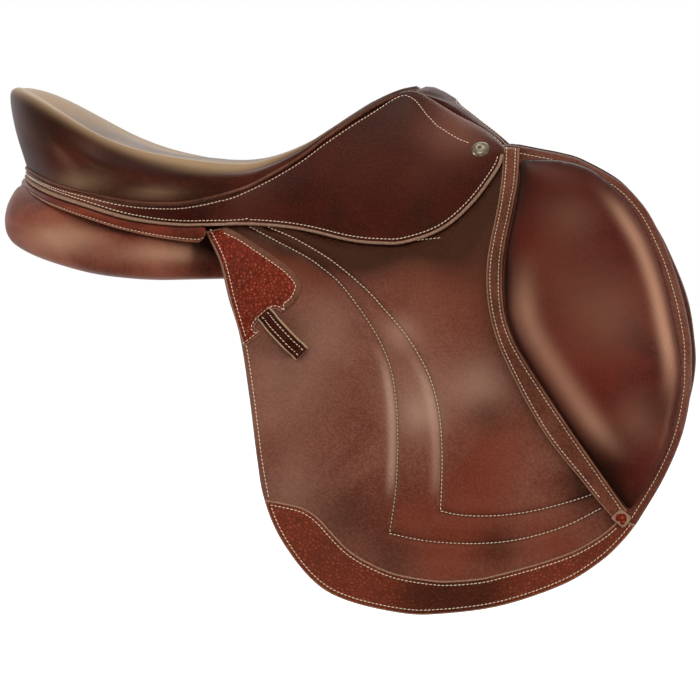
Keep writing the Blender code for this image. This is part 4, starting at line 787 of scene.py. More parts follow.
def flap_row(line, height, side):
    """A sewing row on the pattern sheet. Height is a number or a function of pattern points."""
    result = []
    flat = np.array([(p[0], p[1]) for p in line], float)
    tall = height(flat) if callable(height) else np.full(len(flat), float(height))
    for (x, z), h in zip(flat, tall):
        place = draped(x, z, h, side)
        across = draped(x + 1, z, h, side) - place
        down = draped(x, z - 1, h, side) - place
        out = across.cross(down).normalized()
        result.append((place, out if out.y * side > 0 else -out))
    return result


# The seat

def spine_at(x):
    first, last = SEAT_SPINE[0][0], SEAT_SPINE[-1][0]
    x = min(max(x, first), last)
    for index in range(len(SEAT_SPINE) - 1):
        a, b = SEAT_SPINE[index], SEAT_SPINE[index + 1]
        if a[0] <= x <= b[0]:
            place = on_curve(SEAT_SPINE, index + (x - a[0]) / (b[0] - a[0]))
            return Vector((x, 0, place.z))
    return Vector(SEAT_SPINE[-1])


def welt_at(place):
    return on_curve(WELT, place, mirrored=True)


def seat_grid(stations=SEAT_STATIONS, rings=6 * RINGS_PER_POINT):
    """Points over the seat from the welt line to the spine, all round."""
    last = len(WELT) - 1
    half = []
    for step in range(stations):
        place = last * step / (stations - 1)
        low, rim = welt_at(place), on_curve(RIM, place, mirrored=True)
        spine = spine_at(rim.x)
        out = Vector((low.x - spine.x, low.y, 0)).normalized()
        side = low.lerp(rim, 0.45) + out * smooth_value(SIDE_BULGE, place)
        middle = rim.lerp(spine, 0.5)
        middle.z = spine.z + (rim.z - spine.z) * smooth_value(SEAT_DISH, place)
        rim.z -= smooth_value(SEAT_SETTLE, place)
        broad = 9 * smooth_value(CREST_WIDTH, place)
        outer = rim + out * broad * 0.45 - Vector((0, 0, 0.62 * broad))
        inner = rim - out * broad - Vector((0, 0, 0.2 * broad))
        profile = [tuple(p) for p in (low, side, outer, rim, inner, middle, spine)]
        half.append([on_curve(profile, 6 * k / rings) for k in range(rings)] + [spine])
    return half + [[mirror(p) for p in row] for row in half[-2:0:-1]]


def seat_marks(ring, at):
    """Painted highlights: pale along the seat's crest and into its hollow, and two pale spots on its
    flanks above the welt. Painted shade on the flanks under the crest, towards the rear.
    """
    x, z = at[:, 0], at[:, 2]
    low = 2.0 - 0.8 * np.exp(-((x + 10) / 75) ** 2)
    wear_and_highlight = ease(ring - low, 0, 1.3) * (1 - 0.7 * ease(ring, 4.0, 5.2)) * (1 - 0.75 * ease(x, 40, 140))
    for centre_x, centre_z, long, tall, amount in ((-128, 57, 26, 9, 0.3), (-62, 47, 22, 5, 0.3)):
        wear_and_highlight += amount * np.exp(-((x - centre_x) / long) ** 2 - ((z - centre_z) / tall) ** 2)
    shade = 0.35 * ease(ring, 0.9, 1.6) * (1 - ease(ring, 1.9, 2.5)) * (1 - ease(x, -80, 40))
    return {"wear_and_highlight": np.clip(wear_and_highlight, 0, 1), "shade": np.clip(shade, 0, 1)}


def seat_skin(name, look, stands_for, first_column=0, inward=0.0, thick=2.5):
    """A skin over the seat's form, moved inwards and given a thickness, in millimetres."""
    rows = seat_grid()
    columns = len(rows[0])
    skin = new_object(name, bpy.data.meshes.new(name))
    shape = bmesh.new()
    column_of = shape.verts.layers.int.new("column")
    for row in rows:
        for k, point in enumerate(row):
            shape.verts.new(point * MM)[column_of] = k
    shape.verts.ensure_lookup_table()
    for face in grid_faces(len(rows), columns, wrap_rows=True, wrap_columns=False):
        shape.faces.new([shape.verts[i] for i in face])
    bmesh.ops.remove_doubles(shape, verts=shape.verts, dist=2e-5)
    bmesh.ops.dissolve_degenerate(shape, edges=shape.edges, dist=1e-5)
    inner = [v for v in shape.verts if not v.is_boundary]
    for factor in (0.5,) * 8 + (0.5, -0.51) * 6:
        bmesh.ops.smooth_vert(shape, verts=inner, factor=factor, use_axis_x=True, use_axis_y=True,
                              use_axis_z=True)
    bmesh.ops.recalc_face_normals(shape, faces=shape.faces)
    if sum(f.normal.z * f.calc_area() for f in shape.faces) < 0:
        bmesh.ops.reverse_faces(shape, faces=shape.faces)
    shape.normal_update()
    for vert, way in [(v, v.normal.copy()) for v in shape.verts]:
        vert.co -= way * inward * MM
    outside = [v for v in shape.verts if v[column_of] < first_column
               or (first_column and v.co.x > 60 * MM)]
    bmesh.ops.delete(shape, geom=outside, context="VERTS")
    shape.to_mesh(skin.data)
    shape.free()
    wall = skin.modifiers.new("Wall", "SOLIDIFY")
    wall.thickness = thick * MM
    wall.offset = -1
    bpy.ops.object.select_all(action="DESELECT")
    bpy.context.view_layer.objects.active = skin
    skin.select_set(True)
    bpy.ops.object.modifier_apply(modifier=wall.name)
    ring = np.empty(len(skin.data.vertices), np.int32)
    skin.data.attributes["column"].data.foreach_get("value", ring)
    skin.data.attributes.remove(skin.data.attributes["column"])
    at = np.array([v.co[:] for v in skin.data.vertices]) / MM
    write_marks(skin.data, seat_marks(ring / RINGS_PER_POINT, at))
    skin.data.materials.append(look)
    smooth_shade(skin.data, 60)
    register(skin, "saddle", stands_for)


def make_welt():
    line = [welt_at(k / 10) for k in range(10 * (len(WELT) - 1) + 1)]
    line += [mirror(p) for p in line[-2:0:-1]]
    line = [(p - Vector((0, 0, PIPING_DROP))) * MM for p in line]
    tube("seat_piping", line, PIPING_RADIUS * MM, PIPING,
         stands_for=["seat_welt"], closed=True)


# The skirts

UNDER_WELT = Vector((0, 0, PIPING_DROP + PIPING_RADIUS + 0.2))


def welt_place(x, place):
    if place <= 6:
        return place
    for index in range(5, len(WELT) - 1):
        a, b = WELT[index][0], WELT[index + 1][0]
        if a <= x <= b:
            return index + (x - a) / (b - a)
    return place


def band_stations():
    """Upper and lower edge of the fixed skirt, rear to pommel, in millimetres on the left side."""
    upper, lower, front = [], [], []
    last = len(BAND_LOW) - 1
    for k in range(BAND_STATIONS):
        place = last * k / (BAND_STATIONS - 1)
        low = on_curve(BAND_LOW, place, mirrored=(place < 1))
        upper.append(welt_at(welt_place(low.x, place)) - UNDER_WELT)
        lower.append(low)
        front.append(False)
    for k in range(1, 5):
        x = BAND_LOW[-1][0] + (LOBE_REAR - BAND_LOW[-1][0]) * k / 5
        upper.append(welt_at(welt_place(x, len(WELT) - 1)) - UNDER_WELT)
        lower.append(Vector(BAND_LOW[-1]).lerp(fold_point(LOBE_REAR, 1) / MM, k / 5))
        front.append(False)
    edge = [welt_at(welt_place(LOBE_REAR, len(WELT) - 1)) - UNDER_WELT]
    edge += [Vector(p) - UNDER_WELT for p in WELT[9:15]]
    edge += [Vector(p) for p in POMMEL_EDGE]
    for k in range(FRONT_STATIONS + 1):
        upper.append(on_curve(edge, (len(edge) - 1) * k / FRONT_STATIONS))
        lower.append(fold_point(upper[-1].x, 1) / MM)
        front.append(True)
    return upper, lower, front


def band_point(top, low, share, front):
    """A point of the skirt's outer face between its top (0) and its foot (1), left side."""
    drop, run = top.z - low.z, low.y - top.y
    normal = Vector((0, drop, run)).normalized()
    bulge = 1.5
    if front:
        at_fold, below = (float(drape(0, fold_height(0) - depth)) for depth in (0, STRAIGHT_DEPTH))
        slope = (below - at_fold) / STRAIGHT_DEPTH
        bulge = max((run - slope * drop) / (normal.y + slope * normal.z) / 4, 0.0)
    return top.lerp(low, share) + normal * (4 * bulge * share * (1 - share))


BAND = band_stations()


def first_past(x):
    """The first station of the skirt's upper edge that lies ahead of x."""
    return next(k for k, top in enumerate(BAND[0]) if top.x > x)


def band_row(side, table, first=0, last=None, from_foot=False):
    """A row along the band. The table gives its distance below the top edge or above the foot."""
    upper, lower, front = BAND

    def point_at(k, drop):
        share = drop / max((lower[k] - upper[k]).length, 1.0)
        return band_point(upper[k], lower[k], 1 - share if from_foot else share, front[k])

    row = []
    for k in range(first, len(upper) if last is None else last):
        drop = along_table(table, upper[k].x)
        before, after = max(k - 1, first), min(k + 1, len(upper) - 1)
        point = point_at(k, drop)
        along = point_at(after, drop) - point_at(before, drop)
        down = point_at(k, drop - 1 if from_foot else drop + 1) - point
        out = along.cross(down).normalized()
        if out.y < -0.01 or (abs(out.y) <= 0.3 and out.x > 0 and point.x < -150):
            out = -out
        row.append((to_side(point + out * THREAD_LIFT, side), Vector((out.x, side * out.y, out.z))))
    return row


def skirt_paler_places(points):
    """Paler places on the skirt, by x and height, on both sides of its fold."""
    return 0.45 * spots(points, ((212, 108, 32), (-130, 45, 40))) \
        + 0.08 * spots(points, ((20, 30, 30), (120, 75, 36), (180, 62, 26)))


def make_skirt_band(hand, side):
    upper, lower, front = BAND
    outer, inner = [], []
    for k, (top, low) in enumerate(zip(upper, lower)):
        size = max((low - top).length, 1.0)
        raw = min(along_table(RAW_EDGE, low.x), 0.62 * size)
        body = size - raw
        drops = [0, 0.25, 0.7] + [0.7 + (body - 0.9) * n / 14 for n in range(1, 15)]
        drops += [body] + [body + raw * part for part in (0.08, 0.2, 0.4, 0.6, 0.8, 0.92, 0.98, 1)]
        if front[k]:
            inward = Vector((0, -1, 0))
            sinks = [1.6, 0.7, 0.2] + [0.0] * (BAND_COLUMNS - 3)
        else:
            # A rolled top, a groove above the raw edge, and the raw edge standing out
            back = min(max((-14 - low.x) / 20, 0), 1)
            toward = Vector((max(-112, low.x) - low.x, -low.y, 0)).normalized()
            inward = Vector((1, 0, 0)) if k == 0 else toward.lerp(Vector((0, -1, 0)), 1 - back)
            sinks = [0.0, 0.4, 0.1] + [0.0] * 13 + [0.5, 0.9]
            sinks += [0.2, -0.45, -0.95, -1.0, -0.6, 0.1, 0.9, 1.8]
            ahead = min(max((low.x + 18) / 16, 0), 1)
            sinks = [1.0] + [sink * (1 - ahead) for sink in sinks[1:]]
        for drop, sink in zip(drops, sinks):
            point = band_point(top, low, min(drop / size, 1.0), front[k])
            outer.append(point + inward * sink)
            inner.append(point + inward * BAND_THICK)
    rows = len(upper)
    places = [to_side(Vector((p.x, max(p.y, 0.15), p.z)), side) for p in outer + inner]
    faces = grid_faces(rows, BAND_COLUMNS, wrap_columns=False)
    every = both_faces(faces, rows * BAND_COLUMNS)
    looks = [0] * (2 * len(faces)) + [1] * (len(every) - 2 * len(faces))
    for i, face in enumerate(faces):
        row, column = divmod(face[0], BAND_COLUMNS)
        if column < 2 or (column >= 17 and lower[row].x < 9) or row >= rows - 2:
            looks[i] = 1
    # Painted shade in the groove above the raw edge, towards the rear
    shade = np.zeros((2 * rows, BAND_COLUMNS))
    for row in range(rows):
        if not front[row]:
            shade[row, 15:18] = 0.4 * min(max((-20 - lower[row].x) / 40, 0), 1)
    wear_and_highlight = skirt_paler_places(np.array([(place.x / MM, place.z / MM) for place in places]))
    add_piece(f"skirt_band_leather_{hand}", places, every, [SKIRT_LEATHER, CUT_EDGE], "saddle",
              [f"skirt_band_{hand}"], looks, {"shade": shade.ravel(), "wear_and_highlight": wear_and_highlight})


def lobe_outline():
    line = curve_points(SKIRT_LOBE, 2.5)
    front = SKIRT_LOBE[-1][0]
    line[0] = Vector((LOBE_REAR, fold_height(LOBE_REAR)))
    line[-1] = Vector((front, fold_height(front)))
    return line + [Vector((x, fold_height(x))) for x in np.arange(front - 2.6, LOBE_REAR + 2, -2.6)]


def make_skirt_lobe(hand, side):
    """The lobe that lifts. Its foot is rolled in, and at the fold it meets the band."""
    flat, faces = fill_outline(lobe_outline(), (0.35, 0.9, 1.7, 2.7, 3.6), 4.0)
    away = distance_to(flat, curve_points(SKIRT_LOBE, 2.5))
    top = SKIRT_OUT + 0.3 - 2.6 * rounding(away, 2.8) - 0.3 * np.clip((away - 2.7) / 0.6, 0, 1)
    top = np.where(flat[:, 1] > fold_height(flat[:, 0]) - 0.05, SKIRT_OUT, top)
    add_sheet(f"skirt_leather_{hand}", flat, faces, SKIRT_IN, top, side, [SKIRT_LEATHER, CUT_EDGE],
              f"{hand}_skirt", [f"skirt_{hand}"],
              (face_means(away, faces) < 2.9).astype(int), {"wear_and_highlight": skirt_paler_places}, under=1.0)
    line = offset_line(curve_points(SKIRT_LOBE, 4.0), 5.2)
    line = [p for p in line if p[1] < fold_height(p[0]) - 0.3]
    sew(f"skirt_stitching_{hand}", [flap_row(line, SKIRT_OUT + 0.05, side)], f"{hand}_skirt")


# Flap, trims and knee pad

def rear_and_foot(step):
    return curve_points(FLAP_REAR[:-1] + FLAP_BOTTOM, step)


def flap_outline():
    line = rear_and_foot(2.6) + curve_points(KNEE_EDGE, 2.6)[1:]
    for part in ([(268, 90), (254.5, 90), (246, 80), (240, 73.8)], BAR_NOTCH, [(105, 42), (60, 31)],
                 [(60, 31), (20, 20.7), (-17, 11.3)]):
        line += curve_points(part, 2.6)[1:]
    return line[:-1]


FLAP_OUTLINE = flap_outline()
A_LINE = curve_points(LINE_A, 5) + curve_points(LINE_A_FOOT, 5)[1:]
B_LINE = curve_points(LINE_B, 5) + curve_points(LINE_B_FOOT, 5)[1:]
BEHIND_A = offset_line(curve_points(LINE_A, 5), -5.0)
BEHIND_B = offset_line(curve_points(LINE_B, 5), -5.5)
BETWEEN = [tuple(p) for p in A_LINE] + [tuple(p) for p in reversed(B_LINE)]


def flap_relief(points):
    """The quilted relief: valleys at the two sewing lines, soft rolls beside them."""
    from_a, from_b = distance_to(points, A_LINE), distance_to(points, B_LINE)
    between = inside_loop(points, BETWEEN)
    height = -1.1 * np.exp(-(from_a / 2.0) ** 2) - 1.1 * np.exp(-(from_b / 2.0) ** 2)
    height += np.where(between, 2.3 * np.clip(np.minimum(from_a, from_b) / 11, 0, 1) ** 0.7, 0)
    nearest = np.minimum(from_a, from_b)
    height += np.where(~between, 1.5 * np.exp(-((nearest - 6) / 6) ** 2), 0)
    waves = 0.35 * np.sin(points[:, 0] / 31 + points[:, 1] / 57) * np.sin(points[:, 1] / 44 + 1.3)
    return height + waves


def flap_painted_highlights(points):
    """Painted highlights: along the rolls behind the two sewing lines, and soft pale spots of sheen on
    the flap.
    """
    z = points[:, 1]
    sheen_and_wear = ease(z, -228, -198) * (1 - ease(z, -128, -82))
    wear_and_highlight = 0.7 * sheen_and_wear * np.exp(-(distance_to(points, BEHIND_A) / 3.6) ** 2)
    wear_and_highlight += 0.5 * sheen_and_wear * np.exp(-(distance_to(points, BEHIND_B) / 4.2) ** 2)
    wear_and_highlight += 0.2 * spots(points, ((180, -130, 30), (60, -120, 45), (70, -220, 34), (100, -70, 30)))
    wear_and_highlight += 0.4 * spots(points, ((238, -124, 26), (184, -150, 18), (166, -78, 16)))
    return np.clip(wear_and_highlight, 0, 1)


def flap_warm(points):
    """Red-brown burnish low on the flap, where the rider's boot polishes it."""
    low = spots(points, ((232, -228, 38), (300, -262, 30), (205, -278, 30), (255, -180, 30),
                         (176, -240, 16), (92, -14, 26), (60, -2, 18)))
    return 0.55 * low + 0.4 * spots(points, ((215, -25, 60),))


def flap_painted_shade(points):
    """Painted shade under the skirt, along the strip and in the sewing, and darker patches low and in
    the middle of the flap.
    """
    from_skirt = distance_to(points, curve_points(SKIRT_LOBE, 6))
    from_strip = distance_to(points, curve_points(STRIP_FLAP_SIDE, 8))
    shade = 1.05 * np.exp(-(from_skirt / 23) ** 1.5) + 0.45 * np.exp(-from_strip / 7)
    for line in (A_LINE, B_LINE):
        shade += 0.35 * np.exp(-(distance_to(points, line) / 1.8) ** 2)
    shade += 0.7 * spots(points, ((209, 14, 30), (130, -6, 24), (98, -6, 20), (62, 4, 16),
                                  (330, -214, 18)))
    shade += 0.45 * spots(points, ((117, -240, 26), (160, -280, 22), (255, -262, 18),
                                   (245, -150, 18)))
    return np.clip(shade + 0.35 * spots(points, ((222, -18, 28),)), 0, 0.9)


def flap_height(points):
    return FLAP_TOP_FACE + flap_relief(points) + 0.35


def make_flap(hand, side):
    leather_sheet(f"flap_leather_{hand}", FLAP_OUTLINE, 0.0, FLAP_TOP_FACE, side,
                  [FLAP_LEATHER, DARK_EDGE], f"{hand}_flap", [f"flap_{hand}"],
                  spacing=3.4, edge=1.2, shown_edge=1.0, relief=flap_relief,
                  lines=[curve_points(line, 2.4) for line in (LINE_A, LINE_A_FOOT, LINE_B, LINE_B_FOOT)],
                  marks={"wear_and_highlight": flap_painted_highlights, "shade": flap_painted_shade, "warm": flap_warm})


def trim_outline():
    lower = [p for p in rear_and_foot(2.6) if p[1] < -225.5][:-1]
    return lower + list(reversed(curve_points(TRIM_TOP, 2.6)))


def make_trims(hand, side):
    """The pebbled foot and corner, the strip beside the pad with its piping, and its tab."""
    body = f"{hand}_flap"
    high = ON_FLAP + TRIM_THICK
    leather_sheet(f"flap_foot_{hand}", trim_outline(), ON_FLAP, high, side, [PEBBLED, CUT_EDGE], body,
                  [f"bottom_trim_{hand}"], edge=1.2, shown_edge=1.5,
                  relief=pebble_relief, marks={"shade": trim_darkening, "wear_and_highlight": trim_rub})
    front = curve_points(PATCH, 2.4)
    rear = [Vector((p[0] + 1.2, p[1])) for p in curve_points(FLAP_REAR[:4], 2.6)[:-1]]
    top = curve_points([(-15.8, 11.2), (2.5, 15.2)], 2.6)[1:-1]
    leather_sheet(f"flap_corner_{hand}", top + front + curve_points(PATCH_NOTCH, 2.0) + rear[::-1],
                  ON_FLAP, high, side, [PEBBLED, CUT_EDGE, PIPING], body,
                  [f"flap_patch_{hand}"], spacing=2.6, edge=1.0, shown_edge=1.1,
                  relief=pebble_relief, bound=(front, 4.6), lines=[offset_line(front, -4.6)])
    strip = curve_points(STRIP_PAD_SIDE, 2.6) + curve_points(STRIP_FLAP_SIDE, 2.6)
    leather_sheet(f"knee_strip_{hand}", strip, ON_FLAP, ON_FLAP + STRIP_THICK, side,
                  [STRIP_LEATHER, CUT_EDGE], body, [f"front_strip_{hand}"], edge=0.9,
                  shown_edge=0.8, spacing=3.0)
    piped = [draped(p[0] - 0.3, p[1], ON_FLAP + 2.1, side) for p in curve_points(STRIP_PAD_SIDE, 3)]
    tube(f"strip_piping_{hand}", piped, 0.95 * MM, ROLL_LEATHER, body, sides=8)
    leather_sheet(f"strip_tab_{hand}", loop_points(CORNER_TAB, 2.0), ON_FLAP + 2.5, ON_FLAP + 4.3,
                  side, [PEBBLED, CUT_EDGE], body, [f"corner_tab_{hand}"],
                  spacing=2.5, edge=0.7, shown_edge=2.2)


def trim_rub(points):
    """The foot is paler and browner than the patch, from mud and wiping."""
    return np.full(len(points), 0.1)


def trim_darkening(points):
    """Darker all over the foot, and most at its lowest part."""
    return 0.28 + 0.5 * spots(points, ((195, -308, 34), (240, -302, 26)))


def pebble_relief(points):
    return 0.10 * np.sin(points[:, 0] * 1.9) * np.sin(points[:, 1] * 2.1 + points[:, 0] * 0.7)


def make_keeper(hand, side):
    """The loop for the stirrup leather's end: flat on the flap at both ends, and arched between."""
    start, end = (Vector(p) for p in KEEPER_ENDS)
    along = end - start
    across = Vector((along.y, -along.x)).normalized()
    low, thick, room = FLAP_TOP_FACE + 2.4, 2.5, 7.6
    rises = [0.0, 0.0, 0.0, 0.45, 0.85, 1.0, 1.0, 0.85, 0.45, 0.0, 0.0, 0.0]
    shares = [0.0, 0.07, 0.12, 0.18, 0.27, 0.38, 0.62, 0.73, 0.82, 0.88, 0.93, 1.0]
    profile = list(zip(shares, rises))
    steps = [on_curve(profile, (len(profile) - 1) * k / (KEEPER_STATIONS - 1))
             for k in range(KEEPER_STATIONS)]
    half = [(7.8, 0.0), (7.8, thick - 1.0), (7.3, thick - 0.4), (6.4, thick)]
    section = [(-wide, tall) for wide, tall in half] + [(0.0, thick + 0.3)] + half[::-1]

    def place(step, wide, tall):
        point = start + along * step.x + across * wide
        return point.x, point.y, low + max(step.y, 0) * room + tall

    places = [draped(*place(step, wide, tall), side) for step in steps for wide, tall in section]
    faces = swept_faces(len(steps), len(section))
    looks = [1 if (i % len(section)) in (0, 1, 2, 5, 6, 7) else 0 for i in range(len(faces) - 2)]
    add_piece(f"keeper_strap_{hand}", places, faces, [SKIRT_LEATHER, RAW_TAN], f"{hand}_flap",
              [f"keeper_loop_{hand}"], looks + [1, 1])
    rows = []
    for offset in (-3.1, 3.1):
        row = []
        for step in steps[2:-2]:
            x, z, height = place(step, offset, thick + THREAD_LIFT)
            row += flap_row([(x, z)], height, side)
        rows.append(row)
    return rows


def inflate(outline, spacing=2.0, rounds=1500):
    """The height of a skin blown up inside an outline, 0 to 1: the grid's corner, its spacing and
    its values. Each round moves every point towards the mean of its neighbours and a little up."""
    edge = np.array([(p[0], p[1]) for p in outline], float)
    lo, hi = edge.min(0) - 2 * spacing, edge.max(0) + 2 * spacing
    xs, zs = np.arange(lo[0], hi[0], spacing), np.arange(lo[1], hi[1], spacing)
    points = np.array([(x, z) for x in xs for z in zs])
    mask = inside_loop(points, outline).reshape(len(xs), len(zs))
    skin = np.zeros(mask.shape)
    for _ in range(rounds):
        total = np.zeros(mask.shape)
        total[1:-1, 1:-1] = (skin[2:, 1:-1] + skin[:-2, 1:-1] + skin[1:-1, 2:] + skin[1:-1, :-2]) / 4
        skin = np.where(mask, total + 1.0, 0.0)
    return lo, spacing, skin / skin.max()


def read_grid(grid, points):
    lo, spacing, values = grid
    place = (points - lo) / spacing
    index = np.clip(place.astype(int), 0, np.array(values.shape) - 2)
    part = np.clip(place - index, 0, 1)
    i, k = index[:, 0], index[:, 1]
    a, b = part[:, 0], part[:, 1]
    return (values[i, k] * (1 - a) * (1 - b) + values[i + 1, k] * a * (1 - b)
            + values[i, k + 1] * (1 - a) * b + values[i + 1, k + 1] * a * b)


def make_pad(name, outline, low, rise, side, look, body, stands_for, power, spacing=4.0,
             marks=None):
    """A stuffed leather pad on the pattern sheet, drawn in along its seam."""
    flat, faces = fill_outline(outline, (0.7, 2.0, 4.0), spacing)
    full = np.clip(read_grid(inflate(outline), flat), 0, 1)
    on_seam = distance_to(flat, outline, True) < 0.05
    height = np.where(on_seam, 1.0, 1.0 + rise * full ** power)
    made = add_sheet(name, flat, faces, low, low + height, side, [look], body, stands_for,
                     marks=marks, crease=60)


PAD_OUTLINE = loop_points(KNEE_PAD, 2.6)


def pad_painted_shade(points):
    """Painted shade along the strip and the rim, and darker patches low on the pad, at its top and in
    its middle.
    """
    strip = distance_to(points, curve_points(STRIP_PAD_SIDE, 8))
    rim = distance_to(points, PAD_OUTLINE, True)
    dark = 0.45 * spots(points, ((352, -205, 30), (395, -140, 22)))
    dark += 0.45 * spots(points, ((295, 62, 34), (345, 60, 34)))
    dark += 0.2 * spots(points, ((345, -20, 40), (270, -25, 25)))
    return np.clip(0.8 * np.exp(-strip / 8) + 0.4 * np.exp(-rim / 4) + dark, 0, 0.9)


def pad_warm(points):
    return 0.3 * spots(points, ((288, -2, 26), (312, -75, 38), (340, -112, 30))) \
        + 0.55 * spots(points, ((300, 60, 26), (340, 56, 22)))


def pad_painted_highlights(points):
    """Painted highlights: two bands, inside the front seam and along the strip, and soft pale spots."""
    strip = distance_to(points, curve_points(STRIP_PAD_SIDE, 8))
    rim = distance_to(points, PAD_OUTLINE, True)
    x, z = points[:, 0], points[:, 1]
    front_band = np.exp(-((rim - 11) / 6) ** 2) * ease(x, 325, 365) * ease(z, -150, -80)
    strip_band = np.exp(-((strip - 20) / 10) ** 2) * ease(z, -196, -150) * (1 - ease(z, -60, 10))
    top = 0.22 * spots(points, ((318, 35, 26), (380, -150, 22), (345, -60, 40)))
    return np.clip(0.85 * front_band + 0.66 * strip_band + top, 0, 1)


def make_flap_stitching(hand, side, keeper_rows):
    on_face, on_trim = FLAP_TOP_FACE + THREAD_LIFT, ON_FLAP + TRIM_THICK + 0.15
    on_strip = ON_FLAP + STRIP_THICK + 0.05

    def beside(line, offset, height):
        return flap_row(offset_line(line, offset), height, side)

    rear = [p for p in offset_line(curve_points(FLAP_REAR[2:7], 5), 4.4) if p[1] > -224]
    patch = offset_line(curve_points(PATCH, 3), -5.4) + offset_line(curve_points(PATCH_NOTCH, 2), -2.8)
    rows = [flap_row(A_LINE, flap_height, side), flap_row(B_LINE, flap_height, side),
            flap_row(rear, flap_height, side),
            beside(curve_points(KNEE_EDGE, 5), 6.5, on_face),
            beside([p for p in rear_and_foot(5) if p[1] < -229][:-1], 4.2, on_trim),
            beside(curve_points(TRIM_TOP, 5)[1:-1], -3.8, on_trim),
            beside(curve_points(STRIP_PAD_SIDE, 5), -3.2, on_strip),
            beside(curve_points(STRIP_FLAP_SIDE[1:], 5), -3.2, on_strip),
            flap_row(patch, on_trim, side),
            beside(curve_points(FLAP_REAR[:4], 4), 5.4, on_trim)]
    rows += keeper_rows
    rows.append(flap_row(curve_points(SKIRT_MARK, 3), on_face, side))
    sew(f"flap_stitching_{hand}", rows, f"{hand}_flap")


# Panels, facings and the underside

def panel_section(station):
    """A section of the panel's cushion, swelling out and down, on the left side."""
    x, inner, outer, bottom, top_out, top_in = station

    def outside(z):
        return outer if outer else float(drape(x, z)) - along_table(PANEL_RELIEF, x)
    tall = top_out - bottom
    middle = bottom + 0.45 * tall
    wide = outside(middle) - inner
    low_out = outside(bottom + 0.14 * tall)
    lean = along_table(PANEL_LEAN, x)
    points = [(inner + 2, bottom + 0.30 * tall), (inner + 0.10 * wide, bottom + 0.08 * tall),
              (inner + 0.35 * wide, bottom), (inner + 0.65 * wide, bottom + 0.01 * tall),
              (low_out - 0.10 * wide, bottom + 0.10 * tall),
              (outside(middle) - (0 if outer else 0.5), middle),
              (outside(bottom + 0.8 * tall) - (0.05 + 0.24 * lean) * wide, bottom + 0.8 * tall),
              (outside(top_out) - (0.18 + 0.5 * lean) * wide, top_out),
              (inner + (0.55 - 0.35 * lean) * wide, (top_out + top_in) / 2),
              (inner + (0.2 - 0.1 * lean) * wide, top_in),
              (inner, top_in - 0.15 * (top_in - bottom))]
    return [Vector((x, y, z)) for y, z in points]


def make_panel(hand, side):
    """A flocked cushion swept through its sections, with blunt ends and two painted highlights."""
    sections = [panel_section(station) for station in PANEL]
    last = len(sections) - 1
    fine = []
    for k in range(5 * last + 1):
        ring = [on_curve(line, k / 5) for line in zip(*sections)]
        wrapped = [ring[-1]] + ring + ring[:2]
        fine.append([on_curve(wrapped, i + part / 4)
                     for i in range(1, len(ring) + 1) for part in range(4)])
    for end in (fine[0], fine[-1]):
        middle = sum(end, Vector()) / len(end)
        end[:] = [middle.lerp(p, 0.94) for p in end]
    places = [to_side(p, side) for row in fine for p in row]
    at = np.array([tuple(place) for place in places]) / MM
    # Two painted highlights on the cushion's outer face, at the rear and in the middle
    wear_and_highlight = 0.6 * np.exp(-((at[:, 0] + 142) / 34) ** 2 - ((at[:, 2] - 5) / 13) ** 2)
    wear_and_highlight += 0.5 * np.exp(-((at[:, 0] + 55) / 36) ** 2 - ((at[:, 2] + 8) / 9) ** 2)
    made = add_piece(f"flocked_panel_{hand}", places, swept_faces(len(fine), len(fine[0])),
                     [PANEL_LEATHER], "saddle", [f"panel_{hand}"],
                     marks={"wear_and_highlight": wear_and_highlight}, crease=50)


def make_cantle_strip():
    """The strip round the cantle: a rolled top, a sewn groove and a rolled foot. Returns its row."""
    profile = [(0.0, 0.3), (0.12, -1.5), (0.30, -2.7), (0.50, -3.0), (0.68, -2.5), (0.76, -1.6),
               (0.81, -1.5), (0.85, -2.2), (0.91, -2.9), (0.97, -2.2), (1.0, -0.3), (0.97, 1.6),
               (0.85, 3.2), (0.5, 4.4), (0.15, 5.0), (0.0, 4.6)]
    last = len(CANTLE_STRIP_LOW) - 1
    half = []
    for k in range(CANTLE_STATIONS):
        place = last * k / (CANTLE_STATIONS - 1)
        top = on_curve(BAND_LOW, place, mirrored=(place < 1)) - Vector((0, 0, 0.6))
        low = on_curve(CANTLE_STRIP_LOW, place, mirrored=(place < 1))
        # The last stations draw together into a blunt, round end
        blunt = 0.5 + 0.5 * math.sqrt(1 - (max(k - (CANTLE_STATIONS - 2.8), 0) / 2.0) ** 2)
        top, low = low.lerp(top, blunt), top.lerp(low, blunt)
        toward = Vector((max(-112, low.x) - low.x, -low.y, 0)).normalized()
        half.append((top, low, toward if k else Vector((1, 0, 0))))
    line = [tuple(mirror(v) for v in station) for station in half[:0:-1]] + half
    places = [(top.lerp(low, share) + away * out) * MM
              for top, low, away in line for share, out in profile]
    faces = swept_faces(len(line), len(profile))
    looks = [1 if (i % len(profile)) in (7, 8, 9) else 0 for i in range(len(faces) - 2)] + [1, 1]
    add_piece("cantle_strip", places, faces, [CANTLE_LEATHER, ROLL_LEATHER], "saddle",
              ["cantle_facing"], looks)
    return [((top.lerp(low, 0.785) - away * 1.65) * MM, -away) for top, low, away in line]


